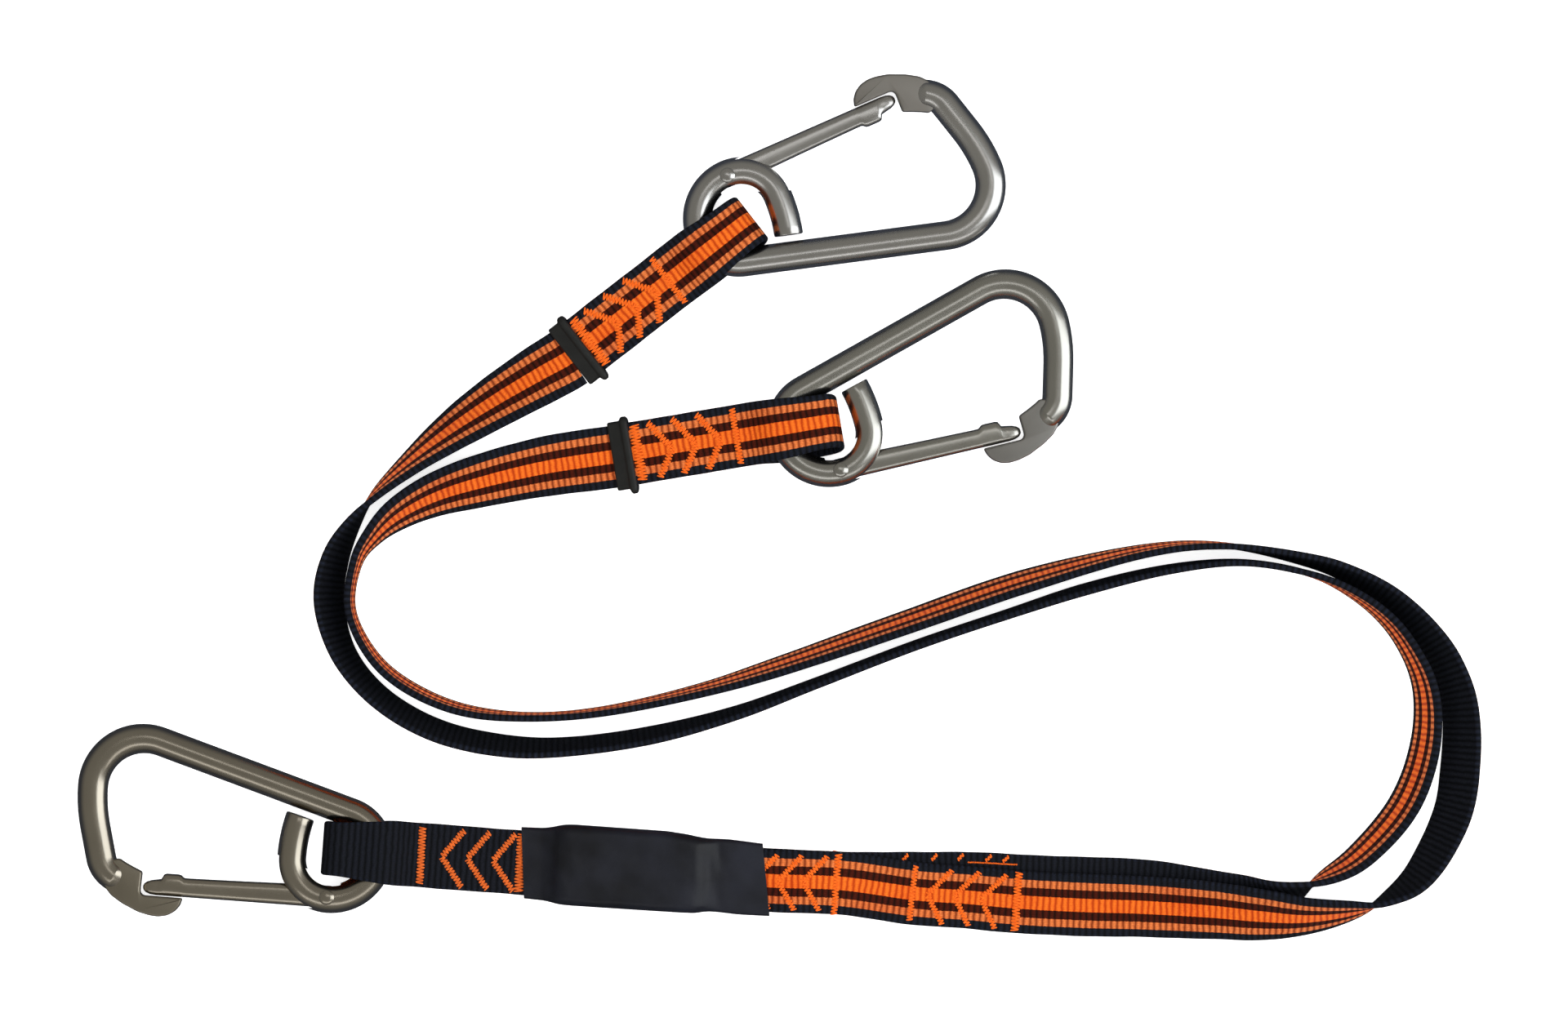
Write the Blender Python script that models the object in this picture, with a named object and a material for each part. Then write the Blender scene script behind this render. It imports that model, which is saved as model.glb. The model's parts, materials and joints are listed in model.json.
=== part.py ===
"""Three-hook shock absorbing lanyard, lying flat on a surface.

Metres, +Z up. The origin is the middle of the absorber's underside, +X runs from the
harness hook through the absorber to the joint of the two legs. Dimensions are written in
millimetres and turned into metres when a mesh is made.
"""

import bmesh
import bpy
from math import atan2, cos, hypot, pi, radians, sin
from mathutils import Matrix, Vector

MM = 0.001

# Webbing
WEB_WIDTH = 21.6            # woven strap of the legs
HARNESS_WIDTH = 22.2        # black strap of the harness hook
WEB_THICK = 2.2
WEB_EDGE = 0.5              # chamfer along the woven edges
GAP = 0.3                   # between pieces that touch
DOUBLE = 2 * WEB_THICK + GAP

# Bent-rod hook
ROD_RADIUS = 5.0
ROD_SIDES = 14
BIG_END_SWELL = 1.05        # the rod spreads a little where it is bent hardest
NOSE_SHOULDER = (73.4, 1.2)  # where the round rod is forged down into the flat nose
NOSE_HEADING = 25.0
NOSE_TO_SPINE = 171.0       # degrees of bend from the nose to the spine
# The rod's centreline from the nose to the free end of the eye: (length, 0) is straight,
# (radius, degrees) is a bend.
ROD_BENDS = ((9.7, 50), (11.2, 0), (53.5, 15), (17.5, 106), (70.2, 0),
             (14.1, 74), (16.5, 90), (13.4, 90), (53.5, 15.5))
BEND_STEP = 10.0            # degrees of bend for each ring of the mesh
NOSE_THICK = 6.4
SLOT_WIDTH = 5.2            # milled slot that takes the gate
SLOT_FLOOR = -4.3           # its flat floor behind the gate's pin

# Gate, its pin, and the plunger and spring inside it
GATE_THICK = 4.6
GATE_EDGE = 1.0             # chamfer along the gate's long edges
GATE_OPEN = 25.0            # degrees
PIN_RADIUS = 1.6
PIN_HEAD_RADIUS = 2.6
PIN_HOLE_CLEAR = 0.07       # between the pin and the gate, on the radius
BORE_OFFSET = 2.75          # the plunger pushes on the slot floor this far inside the pin
BORE_RADIUS = 1.0
BORE_END = 24.0
PLUNGER_RADIUS = 0.85
PLUNGER_LENGTH = 12.0
SPRING_RADIUS = 0.62        # to the middle of its wire
SPRING_WIRE = 0.2
SPRING_TURNS = 6

# Sewn webbing eye round the hook's small end
EYE_FOLD = (2.0, 15.6)      # where the fold's outer face stands in the hook's own frame
EYE_LENGTH = 33.0           # from the fold's outer face back to the neck
ROD_TO_FOLD = 16.5          # the hook leans about a line this far behind the fold
HOOK_REACH = 98.0           # from that line to where the big end rests
NECK_RADIUS = 1.3           # the two plies squeezed together where the eye folds
NECK_GAP = 0.35
NECK_LENGTH = 3.5
NECK_TAPER = 9.0            # the lap thins towards the neck over this length
EYE_WIDTH = 18.6            # the webbing is gathered at the fold
EYE_CLEAR = 0.35            # round the rod
EYE_STRAIGHT = 13.5         # length of the flat sides over the rod
EYE_HEIGHT = 7.9            # height of the hook's plane at the eye

# Each end: neck point, heading of the strap towards its hook, angle of the hook against the
# strap, where the hook sits in the eye (along and across), and which way up the hook lies.
ENDS = {
    "harness": {"neck": (-74.0, -0.65), "heading": 179.4, "slant": 0.1,
                "seat": (-0.95, 1.3), "flip": True},
    "leg_a": {"neck": (1.5, 204.2), "heading": 41.5, "slant": 14.3,
              "seat": (0.0, 0.55), "flip": True},
    "leg_b": {"neck": (29.0, 150.9), "heading": 13.2, "slant": -3.9,
              "seat": (-1.9, -1.7), "flip": False},
}
LAP_LENGTH = 46.0           # double, sewn webbing behind each leg's eye
LAP_END_HEIGHT = 4.3
KEEPER_LENGTH = 7.0
KEEPER_WALL = 1.2
KEEPER_CLEAR = 0.35
KEEPER_PLACE = 42.7         # from the neck to the middle of the keeper

# Absorber
RUN_HEIGHT = 8.2            # middle of the webbing through the absorber
COVER_WALL = 0.7
# The shrunk cover's outside: (x, y of the middle, width, height, corner radius).
COVER_STATIONS = ((-37.9, -1.0, 24.4, 7.2, 1.3), (-30.5, -1.05, 24.9, 7.6, 1.5),
                  (-28.0, -0.9, 25.8, 11.0, 2.4), (-25.0, -0.75, 27.3, 15.2, 3.0),
                  (-21.5, -0.7, 27.8, 16.4, 3.2), (11.0, -0.8, 27.6, 16.4, 3.2),
                  (18.0, -1.1, 26.9, 16.4, 3.2), (22.5, -1.4, 26.1, 15.4, 3.0),
                  (25.5, -1.15, 25.1, 11.2, 2.4), (29.0, -1.0, 25.1, 7.9, 1.5),
                  (35.0, -1.2, 25.6, 7.6, 1.4), (46.0, -1.5, 24.7, 7.3, 1.3))
PACK_LAYERS = 5             # folds of the tear webbing
PACK_HALF_LENGTH = 19.0
PACK_WIDTH = 21.2
PACK_MIDDLE = -0.9          # across the object
SEWN_END = 21.8             # where the straps start inside the cover

# Leg straps from the cover to the end of the second stitch block: (x, y, height)
SEWN_B = ((SEWN_END, -1.3, 9.45), (47.0, -1.7, 9.4), (72.0, -1.1, 7.6), (97.0, -3.0, 4.4),
          (115.0, -3.1, 3.9), (133.7, -3.6, 3.9))
SEWN_A = ((SEWN_END, -1.0, 6.95), (47.0, -1.3, 6.9), (72.0, -0.9, 5.1), (97.0, 0.5, 1.9),
          (115.0, 1.7, 1.4), (133.7, 2.0, 1.4))

# Free legs: (x, y, roll, lift). Roll 0 lies flat with the striped face up, 90 stands the
# strap on its edge. Lift is its height above lying on the surface.
ROUTE_A = ((134, 2, -180, 0), (153, 2.5, -178, 0), (176, 3.2, -172, 0), (198, 1.8, -159, 0),
           (215, 2.2, -141, 0), (228.2, 6.7, -106, 0), (237.4, 11.5, -82, 0), (248.3, 19, -70, 0),
           (260.1, 33.1, -65, 0), (266.5, 46.7, -65, 0), (269.4, 62.6, -67, 0),
           (268.3, 77.2, -71, 0), (263.3, 89.1, -76, 0), (254, 101, -80, 0), (241, 110, -85, 0),
           (225.1, 115.8, -90, 0), (202, 118, -91, 0), (177, 114, -94, 0),
           (149.2, 105.4, -96, 0), (122.5, 94.9, -94, 0), (91.9, 82.3, -94, 0),
           (58.9, 67.2, -95, 0), (32.3, 55.3, -98, 0), (4.3, 45.9, -102, 0),
           (-23.9, 40, -103, 0), (-46.1, 38.7, -106, 0), (-69.6, 42.3, -107, 0),
           (-89.5, 51.8, -107, 0), (-103.5, 66, -109, 0), (-110.1, 83.8, -114, 0),
           (-109, 99, -111, 0), (-104, 111.2, -100, 0), (-96.4, 122.2, -84, 0),
           (-84.9, 133.9, -70, 0), (-71.6, 145.6, -52, 0), (-57.1, 156.8, -34, 0.3),
           (-42.2, 167.3, -16, 1.2), (-30, 175, 0, 2.5))
ROUTE_B = ((134, -3.6, 0, 2.5), (156, -3.2, 6, 2.2), (176, -2.4, 13, 2.2), (199, -2.1, 24, 3.0),
           (216, -2.4, 36, 4.6), (232, -2, 55, 2.2), (248, 1, 75, 0), (259.3, 5.6, 97, 0),
           (270.4, 15.2, 115, 0), (279.7, 35.3, 123, 0), (281.7, 53.8, 124, 0),
           (280.5, 72.1, 121, 0), (275.5, 85.7, 118, 0), (267.5, 96.9, 115, 0),
           (255.3, 108, 109, 0), (241.5, 115.4, 104, 0), (225.5, 120.2, 98, 0),
           (196.1, 123.4, 89, 0), (168.1, 119.7, 82, 0), (127.8, 106.6, 72, 0),
           (86.8, 89.4, 72, 0), (46, 72.2, 76, 0), (18.3, 61.8, 82, 0), (-12.7, 53, 86, 0),
           (-38, 49.3, 87, 0), (-61.2, 50.1, 84, 0), (-80.3, 56.5, 83, 0),
           (-93.9, 66.6, 84, 0), (-102.6, 82, 86, 0), (-101.7, 98.2, 84, 0),
           (-96.3, 108.2, 75, 0), (-88.2, 116.3, 62, 0), (-75.4, 123.8, 48, 0),
           (-58, 130.1, 32, 0), (-38, 135.8, 18, 0.8), (-17, 140, 0, 2.5))
LEG_STEP = 10.0             # distance between rings of a free leg


def clear_scene():
    for item in list(bpy.data.objects):
        bpy.data.objects.remove(item, do_unlink=True)


def material(name, colour, roughness, metallic=0.0):
    made = bpy.data.materials.new(name)
    made.use_nodes = True
    shader = made.node_tree.nodes["Principled BSDF"]
    shader.inputs["Base Color"].default_value = (*colour, 1.0)
    shader.inputs["Roughness"].default_value = roughness
    shader.inputs["Metallic"].default_value = metallic
    return made


def new_object(name, mesh_data, finish):
    made = bpy.data.objects.new(name, mesh_data)
    bpy.context.collection.objects.link(made)
    if finish is not None and not mesh_data.materials:
        mesh_data.materials.append(finish)
    return made


def mesh_from(name, shape):
    """Turn a bmesh in millimetres into a mesh in metres, faces out."""
    bmesh.ops.recalc_face_normals(shape, faces=shape.faces)
    bmesh.ops.scale(shape, vec=(MM, MM, MM), verts=shape.verts)
    made = bpy.data.meshes.new(name)
    shape.to_mesh(made)
    shape.free()
    return made


def loft(rings, closed=False):
    """Skin a list of equal rings of points; open lofts get flat caps."""
    shape = bmesh.new()
    rows = [[shape.verts.new(point) for point in ring] for ring in rings]
    count = len(rows[0])
    pairs = list(zip(rows, rows[1:]))
    if closed:
        pairs.append((rows[-1], rows[0]))
    for row, following in pairs:
        for i in range(count):
            j = (i + 1) % count
            shape.faces.new((row[i], row[j], following[j], following[i]))
    if not closed:
        shape.faces.new(rows[0])
        shape.faces.new(rows[-1])
    return shape


def prism(outline, low, high, axis="z"):
    """Extrude a flat outline from low to high along an axis."""
    place = {"z": lambda a, b, c: (a, b, c), "y": lambda a, b, c: (a, c, b)}[axis]
    return loft([[place(a, b, height) for a, b in outline] for height in (low, high)])


def arc(centre, radius, start, end, steps):
    return [(centre[0] + radius * cos(radians(start + (end - start) * i / steps)),
             centre[1] + radius * sin(radians(start + (end - start) * i / steps)))
            for i in range(steps + 1)]


def cylinder(start, end, radius, sides):
    """A round bar between two points."""
    start, end = Vector(start), Vector(end)
    along = (end - start).normalized()
    across = along.orthogonal().normalized()
    third = along.cross(across)
    rings = []
    for centre in (start, end):
        rings.append([centre + radius * (cos(2 * pi * i / sides) * across
                                         + sin(2 * pi * i / sides) * third)
                      for i in range(sides)])
    return loft(rings)


def cut(target, cutter_shape, operation="DIFFERENCE"):
    """Apply one exact Boolean to an object's mesh."""
    cutter = bpy.data.objects.new("cutter", mesh_from("cutter", cutter_shape))
    bpy.context.collection.objects.link(cutter)
    cutter.hide_render = True
    cutter.display_type = "WIRE"
    step = target.modifiers.new("cut", "BOOLEAN")
    step.operation = operation
    step.solver = "EXACT"
    step.object = cutter
    graph = bpy.context.evaluated_depsgraph_get()
    result = bpy.data.meshes.new_from_object(target.evaluated_get(graph))
    target.modifiers.remove(step)
    old = target.data
    target.data = result
    bpy.data.meshes.remove(old)
    bpy.data.objects.remove(cutter, do_unlink=True)


# ---------------------------------------------------------------- hook, in its own frame
# The gate's pin is at the origin, +X points to the nose, +Y to the spine.

def rod_stations():
    """(x, y, heading, radius) along the bent rod."""
    x, y = NOSE_SHOULDER
    heading = NOSE_HEADING
    stations = [(x, y, heading)]
    for size, turn in ROD_BENDS:
        if turn == 0:
            x += size * cos(radians(heading))
            y += size * sin(radians(heading))
            stations.append((x, y, heading))
            continue
        steps = max(2, round(turn / BEND_STEP))
        for _ in range(steps):
            part = turn / steps
            chord = 2 * size * sin(radians(part / 2))
            x += chord * cos(radians(heading + part / 2))
            y += chord * sin(radians(heading + part / 2))
            heading += part
            stations.append((x, y, heading))
    swollen = []
    for x, y, heading in stations:
        share = min(max((heading - NOSE_HEADING) / NOSE_TO_SPINE, 0.0), 1.0)
        swell = 1.0 + (BIG_END_SWELL - 1.0) * sin(pi * share)
        swollen.append((x, y, heading, ROD_RADIUS * swell))
    return swollen


def rod_rings(stations):
    """Rings with a flat facet on the inside of the bends."""
    rings = []
    for x, y, heading, radius in stations:
        side = Vector((-sin(radians(heading)), cos(radians(heading)), 0))
        ring = []
        for i in range(ROD_SIDES):
            angle = 2 * pi * (i + 0.5) / ROD_SIDES
            ring.append(Vector((x, y, ROD_RADIUS * sin(angle))) + radius * cos(angle) * side)
        rings.append(ring)
    return rings


def nose_outline():
    """The forged claw: tooth, notch for the gate, rounded tip, back under to the rod."""
    inside = [(78.4, 1.0), (77.8, 5.0), (74.9, 7.2), (72.4, 7.9), (70.2, 6.6), (67.4, 5.3),
              (64.1, 3.9)]
    notch = [(64.4, -1.6)] + arc((62.6, -2.4), 1.8, -10, -90, 4) + [(49.7, -4.2)]
    tip = [(50.4, -6.8), (52.1, -9.0), (54.5, -10.5), (57.4, -11.1)]
    under = [(60.5, -10.9), (64.5, -10.0), (70.2, -7.5), (74.2, -5.0), (76.0, -3.0)]
    return inside + notch + tip + under


def slot_outline():
    """The slot clears the gate from shut to open."""
    lean = radians(GATE_OPEN)
    top = [(SLOT_FLOOR, 5.4), (0.0, 6.4), (24 * cos(lean) - 4.3 * sin(lean),
                                           24 * sin(lean) + 4.3 * cos(lean))]
    floor = [(SLOT_FLOOR, 1.4)] + arc((0, 0), 4.1, 165, 262, 6)
    return [(26.0, 10.0), (26.0, -5.2), (6.0, -4.15)] + floor[::-1] + top


def gate_outline():
    """Side view of the gate: round heel, long bar, raised lump and thin rounded tip."""
    heel = arc((0, 0), 3.6, 145, 266, 6)
    lower = [(47.8, -4.15 + 0.35), (57.0, -3.85)] + arc((61.3, -1.25), 2.2, -90, 80, 5)
    upper = [(57.0, 1.75), (56.7, 3.6), (56.0, 3.9), (50.9, 3.9), (50.0, 3.4), (49.4, 2.75),
             (17.0, 3.65), (2.0, 4.05), (-1.2, 4.0)]
    return heel + lower + upper


def hook_frame(finish):
    stations = rod_stations()
    frame = new_object("hook_master", mesh_from("hook_frame", loft(rod_rings(stations))),
                       finish)
    half = NOSE_THICK / 2
    cut(frame, prism(nose_outline(), -half, half), "UNION")
    half = SLOT_WIDTH / 2
    cut(frame, prism(slot_outline(), -half, half))
    cut(frame, cylinder((0, 0, -8), (0, 0, 8), PIN_RADIUS + 0.3, 16))
    return frame


def chamfered_bar(outline, half, edge):
    """A flat bar with its long edges chamfered, from its side view."""
    count = len(outline)
    inner = []
    for i, (x, y) in enumerate(outline):
        before, after = outline[i - 1], outline[(i + 1) % count]
        normals = []
        for (ax, ay), (bx, by) in ((before, (x, y)), ((x, y), after)):
            length = hypot(bx - ax, by - ay)
            normals.append((-(by - ay) / length, (bx - ax) / length))
        nx, ny = normals[0][0] + normals[1][0], normals[0][1] + normals[1][1]
        scale = min(2.0 / (nx * nx + ny * ny), 1.6)
        inner.append((x + nx * edge * scale, y + ny * edge * scale))
    levels = ((inner, -half), (outline, -half + edge), (outline, half - edge), (inner, half))
    return loft([[(x, y, z) for x, y in points] for points, z in levels])


def gate(finish):
    made = new_object("gate_master",
                      mesh_from("gate", chamfered_bar(gate_outline(), GATE_THICK / 2, GATE_EDGE)),
                      finish)
    cut(made, cylinder((0, 0, -6), (0, 0, 6), PIN_RADIUS + PIN_HOLE_CLEAR, 20))
    cut(made, cylinder((-6, BORE_OFFSET, 0), (BORE_END, BORE_OFFSET, 0), BORE_RADIUS, 12))
    return made


def rivet_mesh():
    """Pin with a low dome on each end, turned about Z."""
    reach = ROD_RADIUS + 0.35
    profile = [(0.9, reach + 0.75), (1.9, reach + 0.5), (PIN_HEAD_RADIUS, reach + 0.05),
               (PIN_HEAD_RADIUS, reach - 0.25), (PIN_RADIUS, reach - 0.25)]
    profile += [(r, -z) for r, z in profile[::-1]]
    sides = 20
    rings = [[(r * cos(2 * pi * i / sides), r * sin(2 * pi * i / sides), z)
              for i in range(sides)] for r, z in profile]
    return mesh_from("gate_rivet", loft(rings))


def plunger_mesh():
    nose = SLOT_FLOOR + GAP
    sides = 12
    profile = [(0.45, nose), (PLUNGER_RADIUS, nose + 0.4), (PLUNGER_RADIUS, nose + PLUNGER_LENGTH)]
    rings = [[(x, BORE_OFFSET + r * cos(2 * pi * i / sides), r * sin(2 * pi * i / sides))
              for i in range(sides)] for r, x in profile]
    return mesh_from("gate_plunger", loft(rings))


def spring_mesh():
    """Coil between the plunger's tail and the end of the bore."""
    low = SLOT_FLOOR + GAP + PLUNGER_LENGTH + 0.5
    high = BORE_END - 0.5
    steps = SPRING_TURNS * 8
    rings = []
    for i in range(steps + 1):
        angle = 2 * pi * SPRING_TURNS * i / steps
        outward = Vector((0, cos(angle), sin(angle)))
        centre = Vector((low + (high - low) * i / steps, BORE_OFFSET, 0)) + SPRING_RADIUS * outward
        rings.append([centre + SPRING_WIRE * (cos(pi * k / 2) * outward
                                              + sin(pi * k / 2) * Vector((1, 0, 0)))
                      for k in range(4)])
    return mesh_from("gate_spring", loft(rings))


# ---------------------------------------------------------------- webbing

def web_section(centre, width_way, face_way):
    """Eight points of a flat strap's section with chamfered edges."""
    a, b, c = WEB_WIDTH / 2, WEB_THICK / 2, WEB_EDGE
    corners = ((a, -b + c), (a, b - c), (a - c, b), (-a + c, b), (-a, b - c), (-a, -b + c),
               (-a + c, -b), (a - c, -b))
    return [centre + u * width_way + v * face_way for u, v in corners]


def spline_point(points, place):
    """Uniform Catmull-Rom through the route's points."""
    last = len(points) - 1
    index = min(int(place), last - 1)
    t = place - index
    here, there = Vector(points[index]), Vector(points[index + 1])
    before = Vector(points[index - 1]) if index > 0 else 2 * here - there
    after = Vector(points[index + 2]) if index + 2 <= last else 2 * there - here
    return 0.5 * ((2 * here) + (there - before) * t + (2 * before - 5 * here + 4 * there - after)
                  * t * t + (3 * here - before - 3 * there + after) * t ** 3)


def route_height(roll, lift):
    lean = radians(roll)
    return (WEB_WIDTH / 2 * abs(sin(lean)) + WEB_THICK / 2 * abs(cos(lean)) + GAP + lift)


def leg_rings(route, start, end, end_heading):
    """Rings of a free leg between two fixed ends, square to the pieces they meet."""
    points = [(x, y, route_height(roll, lift), roll) for x, y, roll, lift in route]
    points[0] = (*start, points[0][3])
    points[-1] = (*end, points[-1][3])
    way = Vector((cos(radians(end_heading)), sin(radians(end_heading)), 0))
    fine = 12
    samples = [spline_point(points, i / fine) for i in range((len(points) - 1) * fine + 1)]
    lengths = [0.0]
    for here, there in zip(samples, samples[1:]):
        lengths.append(lengths[-1] + (Vector(there[:3]) - Vector(here[:3])).length)
    count = round(lengths[-1] / LEG_STEP)
    rings = []
    index = 0
    for i in range(count + 1):
        want = lengths[-1] * i / count
        while index < len(lengths) - 2 and lengths[index + 1] < want:
            index += 1
        share = (want - lengths[index]) / (lengths[index + 1] - lengths[index])
        here = samples[index].lerp(samples[index + 1], share)
        low = samples[max(index - 3, 0)]
        high = samples[min(index + 4, len(samples) - 1)]
        forward = (Vector(high[:3]) - Vector(low[:3])).normalized()
        if i == 0:
            forward = Vector((1, 0, 0))
        elif i == count:
            forward = way
        left = Vector((0, 0, 1)).cross(forward).normalized()
        up = forward.cross(left)
        lean = radians(here[3])
        width_way = cos(lean) * left + sin(lean) * up
        face_way = forward.cross(width_way)
        rings.append(web_section(Vector(here[:3]), width_way, face_way))
    return rings


def strap_along(points):
    """A flat strap through (x, y, height) points, level across, ends square to X."""
    rings = []
    for i, (x, y, z) in enumerate(points):
        before, after = points[max(i - 1, 0)], points[min(i + 1, len(points) - 1)]
        left = Vector((before[1] - after[1], after[0] - before[0], 0)).normalized()
        if i in (0, len(points) - 1):
            left = Vector((0, 1, 0))
        rings.append(web_section(Vector((x, y, z)), left, Vector((0, 0, 1))))
    return rings


def eye_profile(outer):
    """Side view of the webbing eye: neck at x = 0, fold at EYE_LENGTH."""
    inner_radius = ROD_RADIUS + EYE_CLEAR
    fold = EYE_LENGTH - inner_radius - WEB_THICK
    rod = fold - EYE_STRAIGHT
    if outer:
        apex, apex_radius, radius = 0.0, NECK_RADIUS, inner_radius + WEB_THICK
        shoulder = (NECK_LENGTH, NECK_RADIUS + 0.1)
    else:
        apex, apex_radius, radius = NECK_LENGTH + 2.2, 0.1, inner_radius
        shoulder = (NECK_LENGTH + 3.0, 0.75)
    half = arc((apex, 0), apex_radius, 180, 90, 4) + [shoulder]
    half += arc((rod, 0), radius, 122, 90, 3) + arc((fold, 0), radius, 90, 0, 8)
    return half + [(x, -z) for x, z in half[-2:0:-1]]


def eye_mesh(width):
    """The folded webbing eye, gathered where it turns inside the hook."""
    outer, inner = eye_profile(True), eye_profile(False)

    def half_width(x):
        share = min(max((x - 8.0) / (EYE_LENGTH - 14.0), 0.0), 1.0)
        share = share * share * (3 - 2 * share)
        return (width + (EYE_WIDTH - width) * share) / 2

    shape = bmesh.new()
    rows = []
    for side in (-1, 1):
        for outline in (outer, inner):
            rows.append([shape.verts.new((x, side * half_width(x), z)) for x, z in outline])
    count = len(outer)
    for i in range(count):
        j = (i + 1) % count
        for a, b in ((rows[0], rows[1]), (rows[1], rows[3]), (rows[3], rows[2]),
                     (rows[2], rows[0])):
            shape.faces.new((a[i], a[j], b[j], b[i]))
    return mesh_from("eye", shape)


def lap_mesh(name, length, drop, width):
    """Double sewn webbing, thinned towards the neck, with its far end lower by drop."""
    half = DOUBLE / 2
    socket = arc((0, 0), NECK_RADIUS + NECK_GAP, 165, 195, 4)
    taper = -drop * NECK_TAPER / length
    outline = socket + [(-NECK_TAPER, taper - half), (-length, -half - drop),
                        (-length, half - drop), (-NECK_TAPER, taper + half)]
    return mesh_from(name, prism(outline, -width / 2, width / 2, "y"))


def tube_rings(inset, sides_per_corner=3):
    """Rounded-rectangle rings along X for the shrunk cover."""
    rings = []
    for x, y, width, height, corner in COVER_STATIONS:
        a, b = width / 2 - inset, height / 2 - inset
        radius = max(corner - inset, 0.4)
        ring = []
        for sx, sz, start in ((1, 1, 0), (-1, 1, 90), (-1, -1, 180), (1, -1, 270)):
            for dy, dz in arc((sx * (a - radius), sz * (b - radius)), radius, start, start + 90,
                              sides_per_corner):
                ring.append((x, y + dy, dz))
        rings.append(ring)
    return rings


def cover_mesh():
    outside = tube_rings(0.0)
    inside = tube_rings(COVER_WALL)
    rings = [[(x, y, z + RUN_HEIGHT) for x, y, z in ring] for ring in outside + inside[::-1]]
    return mesh_from("absorber_cover", loft(rings, closed=True))


def pack_mesh():
    """Tear webbing folded to and fro, seen from the side as one zigzag strip."""
    pitch = WEB_THICK + GAP
    half = WEB_THICK / 2
    low = RUN_HEIGHT - pitch * (PACK_LAYERS - 1) / 2
    rail = []
    for layer in range(PACK_LAYERS):
        z = low + layer * pitch
        side = 1 if layer % 2 == 0 else -1
        rail.append((-side * PACK_HALF_LENGTH, z, -side, layer))
        rail.append((side * PACK_HALF_LENGTH, z, side, layer))
    left, right = [], []
    for index, (x, z, _, layer) in enumerate(rail):
        forward = 1 if layer % 2 == 0 else -1
        left.append((x, z + half * forward))
        right.append((x, z - half * forward))
        if index % 2 == 1 and layer < PACK_LAYERS - 1:
            turn = (x, z + pitch / 2)
            near, far = GAP / 2, pitch / 2 + half
            for k in range(1, 6):
                angle = -90 + 180 * k / 6
                way = (forward * cos(radians(angle)), sin(radians(angle)))
                inner = (turn[0] + near * way[0], turn[1] + near * way[1])
                outer = (turn[0] + far * way[0], turn[1] + far * way[1])
                left.append(inner if forward == 1 else outer)
                right.append(outer if forward == 1 else inner)
    shape = bmesh.new()
    half_width = PACK_WIDTH / 2
    sides = []
    count = len(left)
    for y in (PACK_MIDDLE - half_width, PACK_MIDDLE + half_width):
        sides.append(([shape.verts.new((x, y, z)) for x, z in left],
                      [shape.verts.new((x, y, z)) for x, z in right]))
    (la, ra), (lb, rb) = sides
    for i in range(count - 1):
        for a, b in ((la, ra), (ra, rb), (rb, lb), (lb, la)):
            shape.faces.new((a[i], a[i + 1], b[i + 1], b[i]))
    for i in (0, count - 1):
        shape.faces.new((la[i], ra[i], rb[i], lb[i]))
    return mesh_from("tear_webbing", shape)


def keeper_mesh():
    """Square band round the double webbing, with a thicker seam on one edge."""
    a_in, b_in = WEB_WIDTH / 2 + KEEPER_CLEAR, DOUBLE / 2 + KEEPER_CLEAR
    a_out, b_out = a_in + KEEPER_WALL, b_in + KEEPER_WALL
    outer = [(a_out, -b_out + 1), (a_out, b_out - 1), (a_out - 1, b_out), (-a_out + 1, b_out),
             (-a_out - 0.6, b_out - 1), (-a_out - 1.1, 0), (-a_out - 0.6, -b_out + 1),
             (-a_out + 1, -b_out), (a_out - 1, -b_out)]
    inner = [(a_in, -b_in + 0.4), (a_in, b_in - 0.4), (a_in - 0.4, b_in), (-a_in + 0.4, b_in),
             (-a_in, b_in - 0.4), (-a_in, 0), (-a_in, -b_in + 0.4), (-a_in + 0.4, -b_in),
             (a_in - 0.4, -b_in)]
    half = KEEPER_LENGTH / 2
    rings = [[(x, y, z) for y, z in ring]
             for x, ring in ((-half, inner), (-half, outer), (half, outer), (half, inner))]
    return mesh_from("keeper", loft(rings, closed=True))


# ---------------------------------------------------------------- placing

def metres(x, y, z):
    return Matrix.Translation((x * MM, y * MM, z * MM))


def strap_frame(end):
    """Neck frame: +X towards the hook, level."""
    x, y = end["neck"]
    return metres(x, y, EYE_HEIGHT) @ Matrix.Rotation(radians(end["heading"]), 4, "Z")


def hook_matrix(end):
    """Hook frame: through the fold, slanted against the strap, resting on its big end."""
    pitch = atan2(EYE_HEIGHT - ROD_RADIUS * BIG_END_SWELL, HOOK_REACH)
    flip = Matrix.Rotation(pi if end["flip"] else 0.0, 4, "X")
    along, across = end["seat"]
    return (strap_frame(end) @ metres(EYE_LENGTH + along, across, 0)
            @ Matrix.Rotation(-radians(end["slant"]), 4, "Z") @ metres(-ROD_TO_FOLD, 0, 0)
            @ Matrix.Rotation(pitch, 4, "Y") @ flip
            @ metres(ROD_TO_FOLD - EYE_FOLD[0], -EYE_FOLD[1], 0))


def place(name, mesh_data, finish, matrix):
    made = new_object(name, mesh_data, finish)
    made.matrix_world = matrix
    return made


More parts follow.
